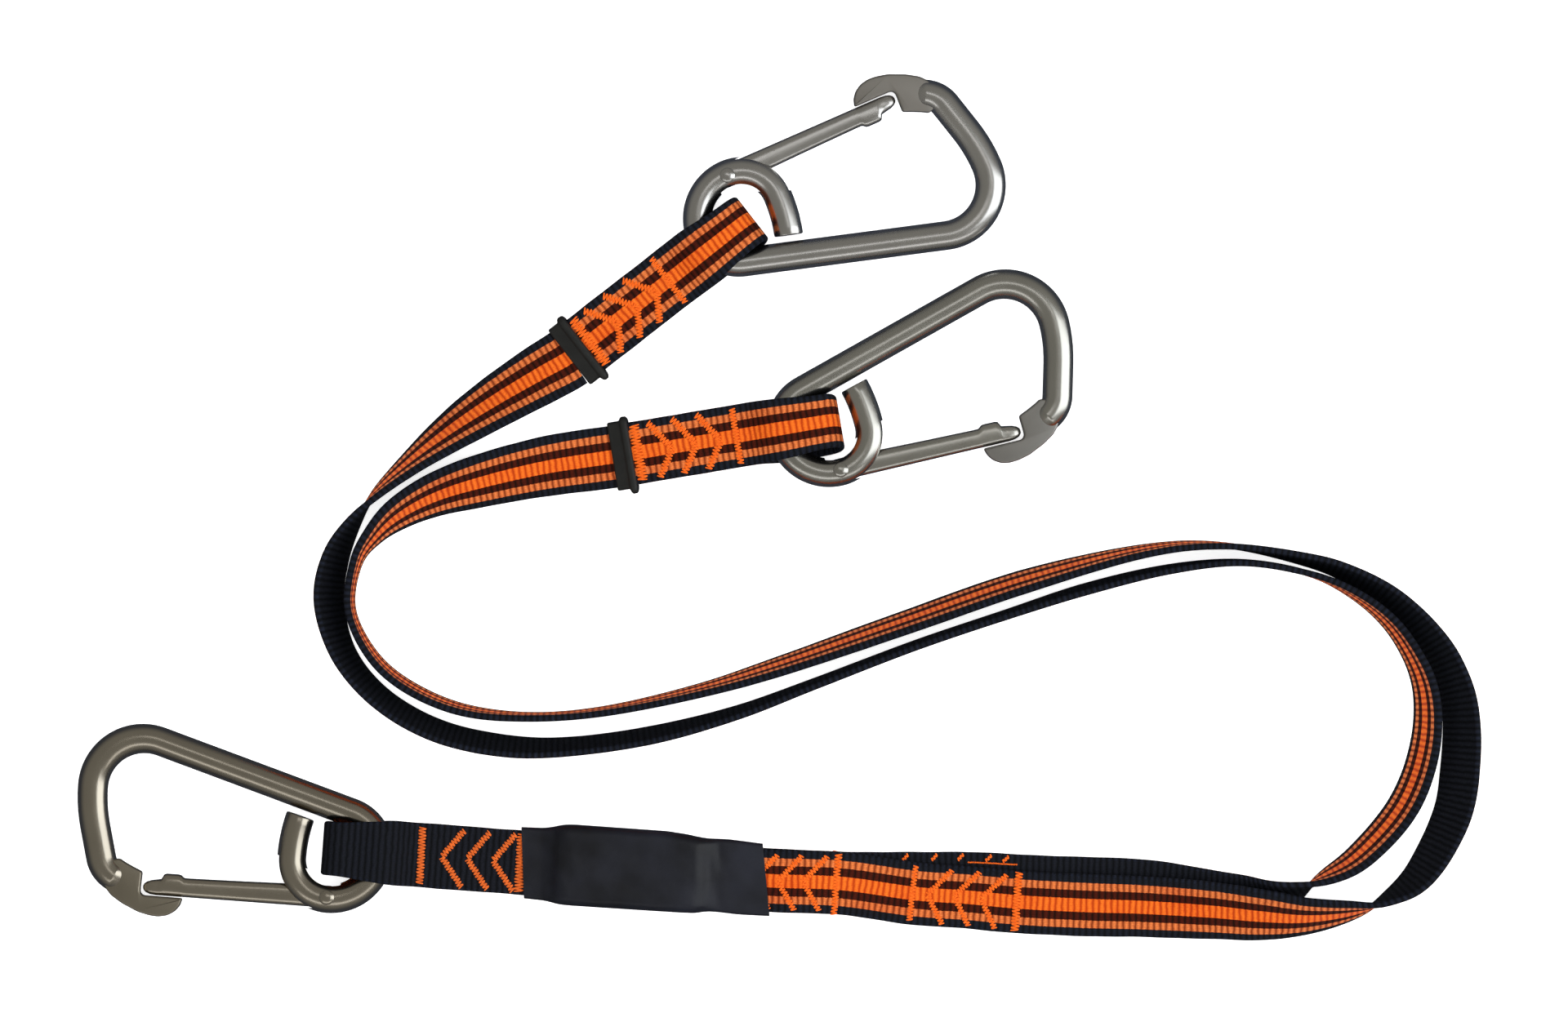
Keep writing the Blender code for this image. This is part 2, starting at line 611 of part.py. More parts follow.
def build():
    clear_scene()
    steel = material("stainless_steel", (0.52, 0.51, 0.48), 0.18, 1.0)
    black_web = material("black_webbing", (0.012, 0.013, 0.018), 0.85)
    striped_web = material("striped_webbing", (0.72, 0.16, 0.03), 0.85)
    shrink = material("shrink_cover", (0.012, 0.013, 0.018), 0.45)
    rubber = material("keeper_rubber", (0.015, 0.015, 0.015), 0.6)
    spring_steel = material("spring_steel", (0.6, 0.6, 0.6), 0.3, 1.0)

    frame_master = hook_frame(steel)
    gate_master = gate(steel)
    shared = {
        "hook_frame": (frame_master.data, steel), "gate": (gate_master.data, steel),
        "gate_rivet": (rivet_mesh(), steel), "gate_plunger": (plunger_mesh(), steel),
        "gate_spring": (spring_mesh(), spring_steel),
    }
    for master in (frame_master, gate_master):
        bpy.data.objects.remove(master, do_unlink=True)
    keeper = keeper_mesh()
    for end_name, end in ENDS.items():
        matrix = hook_matrix(end)
        for piece, (mesh_data, finish) in shared.items():
            place(f"{end_name}_{piece}", mesh_data, finish, matrix)
        width = HARNESS_WIDTH if end_name == "harness" else WEB_WIDTH
        place(f"{end_name}_eye", eye_mesh(width), black_web, strap_frame(end))

    harness = ENDS["harness"]
    harness_length = -SEWN_END - harness["neck"][0]
    place("harness_lap",
          lap_mesh("harness_lap", harness_length, EYE_HEIGHT - RUN_HEIGHT, HARNESS_WIDTH),
          black_web, strap_frame(harness))

    place("absorber_cover", cover_mesh(), shrink, Matrix.Identity(4))
    place("tear_webbing", pack_mesh(), black_web, Matrix.Identity(4))
    for name, points in (("leg_a_sewn_end", SEWN_A), ("leg_b_sewn_end", SEWN_B)):
        rings = strap_along(points)
        place(name, mesh_from(name, loft(rings)), striped_web, Matrix.Identity(4))

    drop = EYE_HEIGHT - LAP_END_HEIGHT
    for end_name, route, sewn in (("leg_a", ROUTE_A, SEWN_A), ("leg_b", ROUTE_B, SEWN_B)):
        end = ENDS[end_name]
        neck = strap_frame(end)
        place(f"{end_name}_lap", lap_mesh(f"{end_name}_lap", LAP_LENGTH, drop, WEB_WIDTH),
              striped_web, neck)
        slope = atan2(drop, LAP_LENGTH)
        centre = KEEPER_PLACE
        place(f"{end_name}_keeper", keeper, rubber,
              neck @ metres(-centre, 0, -drop * centre / LAP_LENGTH)
              @ Matrix.Rotation(-slope, 4, "Y"))
        start = (sewn[-1][0] + GAP, sewn[-1][1], sewn[-1][2])
        finish = neck @ metres(-LAP_LENGTH - GAP, 0, -drop)
        finish = [value / MM for value in finish.translation]
        rings = leg_rings(route, start, finish, end["heading"])
        place(f"{end_name}_strap", mesh_from(f"{end_name}_strap", loft(rings)), striped_web,
              Matrix.Identity(4))

    for item in bpy.context.collection.objects:
        item.data.shade_smooth()
        item.data.set_sharp_from_angle(angle=radians(35))


build()
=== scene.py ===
"""Looks of the three-hook shock absorbing lanyard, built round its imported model.

Lengths are written in millimetres, in the model's own frame, and turned into metres when a
mesh is made. Camera, lights, floor and materials are in metres. Webbing meshes carry a UV map
in millimetres: U along the strap, V across it.
"""

import json
from math import atan2, copysign, cos, exp, hypot, pi, radians, sin

import bmesh
import bpy
from mathutils import Matrix, Vector


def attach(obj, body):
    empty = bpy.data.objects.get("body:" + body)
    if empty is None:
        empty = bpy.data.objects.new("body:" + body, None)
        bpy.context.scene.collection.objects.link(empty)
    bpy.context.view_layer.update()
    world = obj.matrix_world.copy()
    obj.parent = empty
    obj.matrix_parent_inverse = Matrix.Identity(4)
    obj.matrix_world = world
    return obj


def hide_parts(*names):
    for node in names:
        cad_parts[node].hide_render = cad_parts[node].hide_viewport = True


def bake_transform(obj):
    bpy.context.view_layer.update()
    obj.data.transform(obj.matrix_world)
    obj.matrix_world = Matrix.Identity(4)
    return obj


MM = 0.001

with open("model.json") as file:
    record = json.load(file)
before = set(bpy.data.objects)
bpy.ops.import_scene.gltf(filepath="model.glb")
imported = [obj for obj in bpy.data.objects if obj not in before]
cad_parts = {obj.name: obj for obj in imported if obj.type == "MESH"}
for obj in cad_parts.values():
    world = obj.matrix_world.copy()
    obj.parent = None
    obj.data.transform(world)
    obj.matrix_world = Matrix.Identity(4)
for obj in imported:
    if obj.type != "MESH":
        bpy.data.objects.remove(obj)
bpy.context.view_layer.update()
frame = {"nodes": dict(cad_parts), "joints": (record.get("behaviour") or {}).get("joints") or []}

# ---- dimensions, as in the model

WEB_WIDTH = 21.6
HARNESS_WIDTH = 22.2
WEB_THICK = 2.2
GAP = 0.3
DOUBLE = 2 * WEB_THICK + GAP
PLY = (WEB_THICK + GAP) / 2         # from the middle of a doubled strap to the middle of one ply

ROD_RADIUS = 5.0
BIG_END_SWELL = 1.05
NOSE_SHOULDER = (73.4, 1.2)
NOSE_HEADING = 25.0
# The rod from nose to free end: (radius, turn) of each bend, or (length, 0) of a straight
ROD_BENDS = ((9.7, 50), (11.2, 0), (53.5, 15), (17.5, 106), (70.2, 0),
             (14.1, 74), (16.5, 90), (13.4, 90), (53.5, 15.5))
BIG_END_TURN = sum(turn for _, turn in ROD_BENDS[:4])
NOSE_THICK = 6.4
NOSE_CORNER = 0.8           # rounding of its outline
NOSE_EDGE = 0.7             # rounding between its outline and its flat sides
SLOT_WIDTH = 5.2
SLOT_FLOOR = -4.3
GATE_OPEN = 25.0
PIN_RADIUS = 1.6
PIN_HEAD_RADIUS = 2.6

EYE_LENGTH = 33.0
EYE_WIDTH = 18.6
EYE_STRAIGHT = 13.5
EYE_CLEAR = 0.35
EYE_HEIGHT = 7.9
NECK = {"harness": (-74.0, -0.65, 179.4), "leg_a": (1.5, 204.2, 41.5),
        "leg_b": (29.0, 150.9, 13.2)}
LAP_LENGTH = 46.0
LAP_END_HEIGHT = 4.3
KEEPER_CLEAR = 0.35
KEEPER_PLACE = 42.7

RUN_HEIGHT = 8.2
SEWN_END = 21.8
# Sewn stretch of each leg, from inside the cover: (x, y, z)
SEWN_B = ((SEWN_END, -1.3, 9.45), (47.0, -1.7, 9.4), (72.0, -1.1, 7.6), (97.0, -3.0, 4.4),
          (115.0, -3.1, 3.9), (133.7, -3.6, 3.9))
SEWN_A = ((SEWN_END, -1.0, 6.95), (47.0, -1.3, 6.9), (72.0, -0.9, 5.1), (97.0, 0.5, 1.9),
          (115.0, 1.7, 1.4), (133.7, 2.0, 1.4))
# Free legs, the same routes as the model's: (x, y, roll), and lift where it isn't 0
ROUTE_A = ((134, 2, -180), (153, 2.5, -178), (176, 3.2, -172), (198, 1.8, -159), (215, 2.2, -141),
           (228.2, 6.7, -106), (237.4, 11.5, -82), (248.3, 19, -70), (260.1, 33.1, -65),
           (266.5, 46.7, -65), (269.4, 62.6, -67), (268.3, 77.2, -71), (263.3, 89.1, -76),
           (254, 101, -80), (241, 110, -85), (225.1, 115.8, -90), (202, 118, -91), (177, 114, -94),
           (149.2, 105.4, -96), (122.5, 94.9, -94), (91.9, 82.3, -94), (58.9, 67.2, -95),
           (32.3, 55.3, -98), (4.3, 45.9, -102), (-23.9, 40, -103), (-46.1, 38.7, -106),
           (-69.6, 42.3, -107), (-89.5, 51.8, -107), (-103.5, 66, -109), (-110.1, 83.8, -114),
           (-109, 99, -111), (-104, 111.2, -100), (-96.4, 122.2, -84), (-84.9, 133.9, -70),
           (-71.6, 145.6, -52), (-57.1, 156.8, -34, 0.3), (-42.2, 167.3, -16, 1.2),
           (-30, 175, 0, 2.5))
ROUTE_B = ((134, -3.6, 0, 2.5), (156, -3.2, 6, 2.2), (176, -2.4, 13, 2.2), (199, -2.1, 24, 3.0),
           (216, -2.4, 36, 4.6), (232, -2, 55, 2.2), (248, 1, 75), (259.3, 5.6, 97),
           (270.4, 15.2, 115), (279.7, 35.3, 123), (281.7, 53.8, 124), (280.5, 72.1, 121),
           (275.5, 85.7, 118), (267.5, 96.9, 115), (255.3, 108, 109), (241.5, 115.4, 104),
           (225.5, 120.2, 98), (196.1, 123.4, 89), (168.1, 119.7, 82), (127.8, 106.6, 72),
           (86.8, 89.4, 72), (46, 72.2, 76), (18.3, 61.8, 82), (-12.7, 53, 86), (-38, 49.3, 87),
           (-61.2, 50.1, 84), (-80.3, 56.5, 83), (-93.9, 66.6, 84), (-102.6, 82, 86),
           (-101.7, 98.2, 84), (-96.3, 108.2, 75), (-88.2, 116.3, 62), (-75.4, 123.8, 48),
           (-58, 130.1, 32), (-38, 135.8, 18, 0.8), (-17, 140, 0, 2.5))
FOLD_SKEW = {"leg_a": -1.2, "leg_b": -2.4}   # how far the lower ply shows beside the upper one
LEGS = {"leg_a": (SEWN_A, ROUTE_A), "leg_b": (SEWN_B, ROUTE_B)}


# ---- camera, light and floor

SENSOR = 36.0
CAMERA_PLACE = (0.04385, 0.1271, 6.0)
CAMERA_TURN = 3.7
VIEW_WIDTH = 0.5393         # what the picture spans at the level below
VIEW_LEVEL = 0.008
LIT_MIDDLE = (0.05, 0.13, 0.0)
FLOOR_REACH = 14.0
FLOOR_CLEAR = 0.0002        # keeps the floor off the undersides


def camera():
    """Look straight down from far away."""
    made = bpy.data.cameras.new("camera")
    made.sensor_width = SENSOR
    made.lens = SENSOR * (CAMERA_PLACE[2] - VIEW_LEVEL) / VIEW_WIDTH
    item = link("camera", made)
    item.location = CAMERA_PLACE
    item.rotation_euler = (0.0, 0.0, radians(CAMERA_TURN))
    made.clip_start, made.clip_end = 0.05, 50.0
    bpy.context.scene.camera = item


def softbox(name, place, size, watts, colour, glossy):
    """A rectangular light aimed at the middle of the lanyard."""
    made = bpy.data.lights.new(name, "AREA")
    made.shape = "RECTANGLE"
    made.size, made.size_y = size
    made.energy = watts
    made.color = colour
    item = link(name, made)
    item.location = place
    way = Vector(LIT_MIDDLE) - Vector(place)
    item.rotation_euler = way.to_track_quat("-Z", "Y").to_euler()
    item.visible_glossy = glossy
    item.visible_camera = False


def surroundings():
    """Warm grey above and dark navy below the horizon, for the steel to reflect."""
    world = bpy.data.worlds.new("studio")
    bpy.context.scene.world = world
    world.use_nodes = True
    tree = world.node_tree
    place = tree.nodes.new("ShaderNodeTexCoord").outputs["Generated"]
    parts = tree.nodes.new("ShaderNodeSeparateXYZ")
    tree.links.new(place, parts.inputs[0])
    height = tree.nodes.new("ShaderNodeMapRange")
    tree.links.new(parts.outputs[2], height.inputs[0])
    height.inputs["From Min"].default_value = -0.25
    height.inputs["From Max"].default_value = 0.45
    sky = tree.nodes.new("ShaderNodeMix")
    sky.data_type = "RGBA"
    tree.links.new(height.outputs[0], sky.inputs["Factor"])
    sky.inputs["A"].default_value = (0.06, 0.068, 0.088, 1.0)
    sky.inputs["B"].default_value = (0.27, 0.262, 0.236, 1.0)
    tree.links.new(sky.outputs["Result"], tree.nodes["Background"].inputs["Color"])


def studio():
    bpy.context.scene.view_settings.view_transform = "Standard"
    surroundings()
    white, cool = (1.0, 1.0, 1.0), (0.93, 0.97, 1.0)
    softbox("fill", (0.05, 0.13, 2.4), (3.4, 3.4), 100.0, white, False)
    softbox("strip_front", (0.15, -1.1, 1.2), (2.6, 0.34), 3.6, white, True)
    softbox("panel_right", (1.65, 0.15, 0.95), (1.1, 2.4), 20.0, cool, True)
    softbox("small_top", (0.15, 0.6, 2.3), (1.2, 0.3), 1.3, white, True)
    floor = bpy.data.meshes.new("floor")
    reach = FLOOR_REACH
    floor.from_pydata([(-reach, -reach, 0), (reach, -reach, 0), (reach, reach, 0),
                       (-reach, reach, 0)], [], [(0, 1, 2, 3)])
    paint = Paint("floor", Base_Color=(0.93, 0.93, 0.93, 1.0), Emission_Color=(1.0, 1.0, 1.0, 1.0),
                  Emission_Strength=0.7, Roughness=0.9, Specular_IOR_Level=0.0)
    item = link("floor", floor, [paint.material])
    item.location.z = -FLOOR_CLEAR
    item.visible_glossy = False


# ---- materials

def srgb(red, green, blue):
    """Linear colour from display values 0 to 255."""
    def one(value):
        value /= 255.0
        return value / 12.92 if value <= 0.04045 else ((value + 0.055) / 1.055) ** 2.4
    return (one(red), one(green), one(blue), 1.0)


class Paint:
    """A Principled material with a few short cuts for building its nodes."""

    def __init__(self, name, **values):
        self.material = bpy.data.materials.new(name)
        self.material.use_nodes = True
        self.tree = self.material.node_tree
        self.shader = self.tree.nodes["Principled BSDF"]
        for key, value in values.items():
            self.shader.inputs[key.replace("_", " ")].default_value = value

    def node(self, kind, **settings):
        made = self.tree.nodes.new(kind)
        for key, value in settings.items():
            setattr(made, key, value)
        return made

    def feed(self, socket, value):
        if isinstance(value, bpy.types.NodeSocket):
            self.tree.links.new(value, socket)
        else:
            socket.default_value = value

    def math(self, operation, *values):
        made = self.node("ShaderNodeMath", operation=operation)
        for socket, value in zip(made.inputs, values):
            self.feed(socket, value)
        return made.outputs[0]

    def mix(self, share, first, second, blend="MIX"):
        made = self.node("ShaderNodeMix", data_type="RGBA", blend_type=blend)
        self.feed(made.inputs["Factor"], share)
        self.feed(made.inputs["A"], first)
        self.feed(made.inputs["B"], second)
        return made.outputs["Result"]

    def into(self, name, value):
        """Feed one of the shader's inputs."""
        self.feed(self.shader.inputs[name], value)

    def noise(self, vector, scale, detail=2.0, rough=0.5):
        made = self.node("ShaderNodeTexNoise")
        self.feed(made.inputs["Vector"], vector)
        made.inputs["Scale"].default_value = scale
        made.inputs["Detail"].default_value = detail
        made.inputs["Roughness"].default_value = rough
        return made.outputs["Fac"]

    def spread(self, value, low, high, first=0.0, second=1.0):
        made = self.node("ShaderNodeMapRange")
        for socket, part in zip(made.inputs, (value, low, high, first, second)):
            self.feed(socket, part)
        return made.outputs["Result"]

    def wave(self, value, pitch):
        """From 0 to 1 and back once in every pitch."""
        turn = self.math("MULTIPLY", value, 2 * pi / pitch)
        return self.math("ADD", self.math("MULTIPLY", self.math("COSINE", turn), 0.5), 0.5)

    def bump(self, height, distance, strength):
        made = self.node("ShaderNodeBump")
        made.inputs["Strength"].default_value = strength
        made.inputs["Distance"].default_value = distance
        self.feed(made.inputs["Height"], height)
        self.into("Normal", made.outputs["Normal"])

    def place(self):
        """Object position, in metres."""
        return self.node("ShaderNodeTexCoord").outputs["Object"]

    def strap_place(self):
        """The strap's UV: millimetres along, millimetres across, and both as a vector."""
        parts = self.node("ShaderNodeSeparateXYZ")
        self.feed(parts.inputs[0], self.node("ShaderNodeUVMap", uv_map="strap").outputs[0])
        joined = self.node("ShaderNodeCombineXYZ")
        for socket, part in zip(joined.inputs, parts.outputs[:2]):
            self.feed(socket, part)
        return parts.outputs[0], parts.outputs[1], joined.outputs[0]


WEB_GLOSS = {"Roughness": 0.85, "Specular_IOR_Level": 0.12}
RIB_PITCH = 2.13
YARN_PITCH = 0.62
# From one edge to the other: width of each band and its two colours, in the ribs' valleys and on
# their crests; the valley colour holds painted shade and the crest colour a painted highlight
BAND_BLACK = (srgb(7, 8, 11), srgb(22, 25, 34))
BAND_NARROW = (srgb(112, 42, 14), srgb(214, 116, 60))
BAND_DARK = (srgb(22, 5, 1), srgb(66, 18, 6))
BAND_WIDE = (srgb(158, 48, 5), srgb(228, 108, 30))
BANDS = ((3.0, BAND_BLACK), (2.6, BAND_NARROW), (2.9, BAND_DARK), (4.6, BAND_WIDE),
         (2.9, BAND_DARK), (2.6, BAND_NARROW), (3.0, BAND_BLACK))


def band_ramp(paint, place, which):
    """Colour of the striped face at a place from 0 to 1 across it; which is 0 for the valley
    colour, darkened by painted shade, and 1 for the crest colour, lightened by a painted
    highlight.
    """
    ramp = paint.node("ShaderNodeValToRGB")
    ramp.color_ramp.interpolation = "CONSTANT"
    stops = ramp.color_ramp.elements
    total, edge = sum(size for size, _ in BANDS), 0.0
    for index, (size, colours) in enumerate(BANDS):
        # a ramp is made with two stops
        stop = stops[index] if index < 2 else stops.new(edge / total)
        stop.position = edge / total
        stop.color = colours[which]
        edge += size
    paint.feed(ramp.inputs[0], place)
    return ramp.outputs["Color"]


def webbing_paint(name, striped):
    """A ribbed face: the rib share is 1 on top of a rib's yarns and 0 in the valleys; it raises
    the ribs by bump, and it also paints the crests lighter as a painted highlight and the valleys
    darker as painted shade.
    """
    paint = Paint(name, **WEB_GLOSS)
    along, across, vector = paint.strap_place()
    wander = paint.math("MULTIPLY", paint.math("SUBTRACT", paint.noise(vector, 0.35), 0.5), 0.9)
    rib = paint.wave(paint.math("ADD", along, wander), RIB_PITCH)
    yarn = paint.wave(across, YARN_PITCH)
    crest_and_shade = paint.math("MULTIPLY", paint.math("POWER", rib, 0.7),
                       paint.math("ADD", paint.math("MULTIPLY", yarn, 0.22), 0.78))
    fleck = paint.noise(vector, 1.7, 3.0, 0.6)
    crest_and_shade = paint.math("MULTIPLY", crest_and_shade, paint.spread(fleck, 0.25, 0.7, 0.62, 1.12))
    if striped:
        offset = paint.math("MULTIPLY", paint.math("SUBTRACT", paint.noise(vector, 1.3), 0.5), 0.5)
        place = paint.spread(paint.math("ADD", across, offset), -WEB_WIDTH / 2, WEB_WIDTH / 2)
        # painted shade in the ribs' valleys, painted highlight on their crests
        colour = paint.mix(crest_and_shade, band_ramp(paint, place, 0), band_ramp(paint, place, 1))
        # here and there a stretch is redder and duller
        redder = paint.spread(paint.noise(vector, 0.05, 1.0), 0.5, 0.72, 0.0, 0.55)
        colour = paint.mix(redder, colour, (0.84, 0.58, 0.5, 1.0), "MULTIPLY")
    else:
        # painted shade in the ribs' valleys, painted highlight on their crests
        colour = paint.mix(crest_and_shade, srgb(5, 6, 8), srgb(21, 23, 30))
        navy = paint.spread(paint.noise(vector, 2.6, 2.0), 0.62, 0.78, 0.0, 0.4)
        colour = paint.mix(navy, colour, srgb(22, 28, 48))
    paint.into("Base Color", colour)
    paint.bump(crest_and_shade, 0.00022, 0.9)
    return paint.material


def edge_paint():
    """Woven edge: black yarns, their rib crests painted lighter navy here and there as a painted
    highlight.
    """
    paint = Paint("webbing_edge", **WEB_GLOSS)
    along, _, vector = paint.strap_place()
    fleck = paint.noise(vector, 1.9, 3.0, 0.6)
    crest_and_shade = paint.math("MULTIPLY", paint.wave(along, RIB_PITCH),
                       paint.spread(fleck, 0.3, 0.7, 0.3, 1.2))
    # painted shade in the ribs' valleys, painted navy highlight on their crests
    paint.into("Base Color", paint.mix(crest_and_shade, srgb(7, 8, 11), srgb(24, 28, 40)))
    paint.bump(crest_and_shade, 0.0002, 0.8)
    return paint.material


def thread_paint(name, dark, light):
    paint = Paint(name, Roughness=0.7, Specular_IOR_Level=0.15)
    vector = paint.place()
    share = paint.noise(vector, 900.0, 2.0)
    paint.into("Base Color", paint.mix(share, dark, light))
    paint.bump(paint.noise(vector, 3500.0, 1.0), 0.00004, 0.6)
    return paint.material


def steel_paint(name, base, roughness):
    """Steel with faint clouds in its colour and its gloss."""
    paint = Paint(name, Metallic=1.0)
    cloud = paint.noise(paint.place(), 60.0, 2.0)
    darker = [0.94 * part for part in base[:3]] + [1.0]
    paint.into("Base Color", paint.mix(paint.spread(cloud, 0.35, 0.65), darker, base))
    paint.into("Roughness", paint.spread(cloud, 0.3, 0.7, roughness * 0.94, roughness * 1.06))
    return paint.material


def cover_paint():
    """Black shrink film: finely wrinkled, a little cloudy."""
    paint = Paint("shrink_film", Specular_IOR_Level=0.24)
    vector = paint.place()
    cloud = paint.noise(vector, 45.0, 3.0)
    grain = paint.noise(vector, 1400.0, 2.0)
    paint.into("Base Color", paint.mix(paint.spread(cloud, 0.35, 0.7), srgb(12, 13, 17),
                                       srgb(22, 24, 33)))
    paint.into("Roughness", paint.spread(cloud, 0.3, 0.7, 0.36, 0.5))
    wrinkle = paint.noise(vector, 160.0, 3.0)
    paint.bump(paint.math("ADD", wrinkle, paint.math("MULTIPLY", grain, 0.08)), 0.0005, 0.5)
    return paint.material


def rubber_paint():
    paint = Paint("keeper_rubber_look", Roughness=0.6)
    vector = paint.place()
    grain = paint.noise(vector, 2500.0, 2.0)
    cloud = paint.noise(vector, 220.0, 2.0)
    paint.into("Base Color", paint.mix(cloud, srgb(8, 9, 9), srgb(19, 20, 19)))
    paint.bump(grain, 0.00003, 0.6)
    return paint.material


# ---- meshes

def link(name, data, materials=()):
    item = bpy.data.objects.new(name, data)
    bpy.context.scene.collection.objects.link(item)
    for material in materials:
        data.materials.append(material)
    return item


def finish_mesh(shape, name, sharp=40.0):
    """Turn a bmesh in millimetres into a mesh in metres, smooth but for its sharp edges."""
    bmesh.ops.recalc_face_normals(shape, faces=shape.faces)
    bmesh.ops.scale(shape, vec=(MM, MM, MM), verts=shape.verts)
    mesh = bpy.data.meshes.new(name)
    shape.to_mesh(mesh)
    shape.free()
    mesh.shade_smooth()
    mesh.set_sharp_from_angle(angle=radians(sharp))
    return mesh


def skin(shape, rows, closed=False):
    """Quads between rows of vertices; closed joins the last row to the first, or else both
    ends get a face."""
    count = len(rows[0])
    for row, following in zip(rows, rows[1:] + rows[:1] if closed else rows[1:]):
        for i in range(count):
            j = (i + 1) % count
            shape.faces.new((row[i], row[j], following[j], following[i]))
    if not closed:
        shape.faces.new(rows[0])
        shape.faces.new(rows[-1])


def loft(rings, closed=False):
    shape = bmesh.new()
    skin(shape, [[shape.verts.new(point) for point in ring] for ring in rings], closed)
    return shape


def even(first, last, steps):
    """Values from first to last in equal steps."""
    return [first + (last - first) * i / steps for i in range(steps + 1)]


def arc(centre, radius, start, end, steps):
    return [(centre[0] + radius * cos(radians(angle)), centre[1] + radius * sin(radians(angle)))
            for angle in even(start, end, steps)]


def round_box(half_width, half_height, radius, steps):
    """The four rounded corners of a box's section, each a list of points."""
    a, b = half_width - radius, half_height - radius
    return [arc((x, y), radius, start, start + 90, steps)
            for x, y, start in ((a, b, 0), (-a, b, 90), (-a, -b, 180), (a, -b, 270))]


def smooth(share):
    """0 up to share 0, 1 from share 1 on, and an easy curve between."""
    share = min(max(share, 0.0), 1.0)
    return share * share * (3 - 2 * share)


# ---- webbing ribbons

FACE_STEPS = 14             # strips across each face of a strap
EDGE_ARC = 4                # strips round each half of a woven edge
EDGE_ROUND = 0.86           # how far an edge's curve reaches in, of half the thickness
# Waviness of the woven edges: (size, length in millimetres per radian, phase)
EDGE_WAVES = ((0.09, 5.1, 0.0), (0.07, 2.3, 1.0))


def strap_section(width):
    """Section of a strap: (across, out, V, slot), slot 0 the face, 1 the back, 2 the edges.

    Where the strap is narrower, its stripes narrow half as much.
    """
    a, b = width / 2, WEB_THICK / 2
    r = EDGE_ROUND * b
    scale = 0.5 + 0.5 * WEB_WIDTH / width
    points = []
    for sign, slot in ((1, 0), (-1, 1)):
        for i in range(FACE_STEPS + 1):
            u = sign * (a - r) * (1 - 2 * i / FACE_STEPS)
            points.append((u, sign * b, u * scale, slot if i < FACE_STEPS else 2))
        for i in range(1, 2 * EDGE_ARC):
            angle = radians(sign * 90 + 180 * i / (2 * EDGE_ARC))
            points.append((sign * (r - a) + r * cos(angle), b * sin(angle), -sign * a * scale, 2))
    return points


def ribbon(name, stations, materials):
    """A strap through stations (place, across, out, length along, width)."""
    shape = bmesh.new()
    layer = shape.loops.layers.uv.new("strap")
    rows, along, sections = [], [], []
    for place, across, out, length, width in stations:
        section = strap_section(width)
        wave = sum(size * sin(length / reach + phase) for size, reach, phase in EDGE_WAVES)
        row = []
        for u, v, _, kind in section:
            extra = wave * (u / width) if kind == 2 else 0.0
            row.append(shape.verts.new(place + (u + extra) * across + v * out))
        rows.append(row)
        along.append(length)
        sections.append(section)
    count = len(rows[0])
    for k in range(len(rows) - 1):
        for i in range(count):
            j = (i + 1) % count
            face = shape.faces.new((rows[k][i], rows[k][j], rows[k + 1][j], rows[k + 1][i]))
            face.material_index = sections[k][i][3]
            ends = ((k, i), (k, j), (k + 1, j), (k + 1, i))
            for loop, (row, column) in zip(face.loops, ends):
                loop[layer].uv = (along[row], sections[row][column][2])
    for row in (rows[0], rows[-1]):
        shape.faces.new(row).material_index = 2
    return link(name, finish_mesh(shape, name, sharp=50.0), materials)


def spline(points, place):
    """Uniform Catmull-Rom through the points."""
    last = len(points) - 1
    index = min(max(int(place), 0), last - 1)
    t = place - index
    here, there = Vector(points[index]), Vector(points[index + 1])
    before = Vector(points[index - 1]) if index > 0 else 2 * here - there
    after = Vector(points[index + 2]) if index + 2 <= last else 2 * there - here
    return 0.5 * ((2 * here) + (there - before) * t + (2 * before - 5 * here + 4 * there - after)
                  * t * t + (3 * here - before - 3 * there + after) * t ** 3)


def strap_frame(end):
    """Neck frame in millimetres: +X towards the hook, level."""
    x, y, heading = NECK[end]
    return Matrix.Translation((x, y, EYE_HEIGHT)) @ Matrix.Rotation(radians(heading), 4, "Z")


def lap_drop(end):
    """Fall of the doubled strap from the neck to its far end, and its length."""
    if end == "harness":
        return EYE_HEIGHT - RUN_HEIGHT, -SEWN_END - NECK["harness"][0]
    return EYE_HEIGHT - LAP_END_HEIGHT, LAP_LENGTH


def route_height(roll, lift=0.0):
    """Height of a leaning strap's middle line, its lower edge just off the surface."""
    lean = radians(roll)
    return WEB_WIDTH / 2 * abs(sin(lean)) + WEB_THICK / 2 * abs(cos(lean)) + GAP + lift


RUN_ON = 12.0


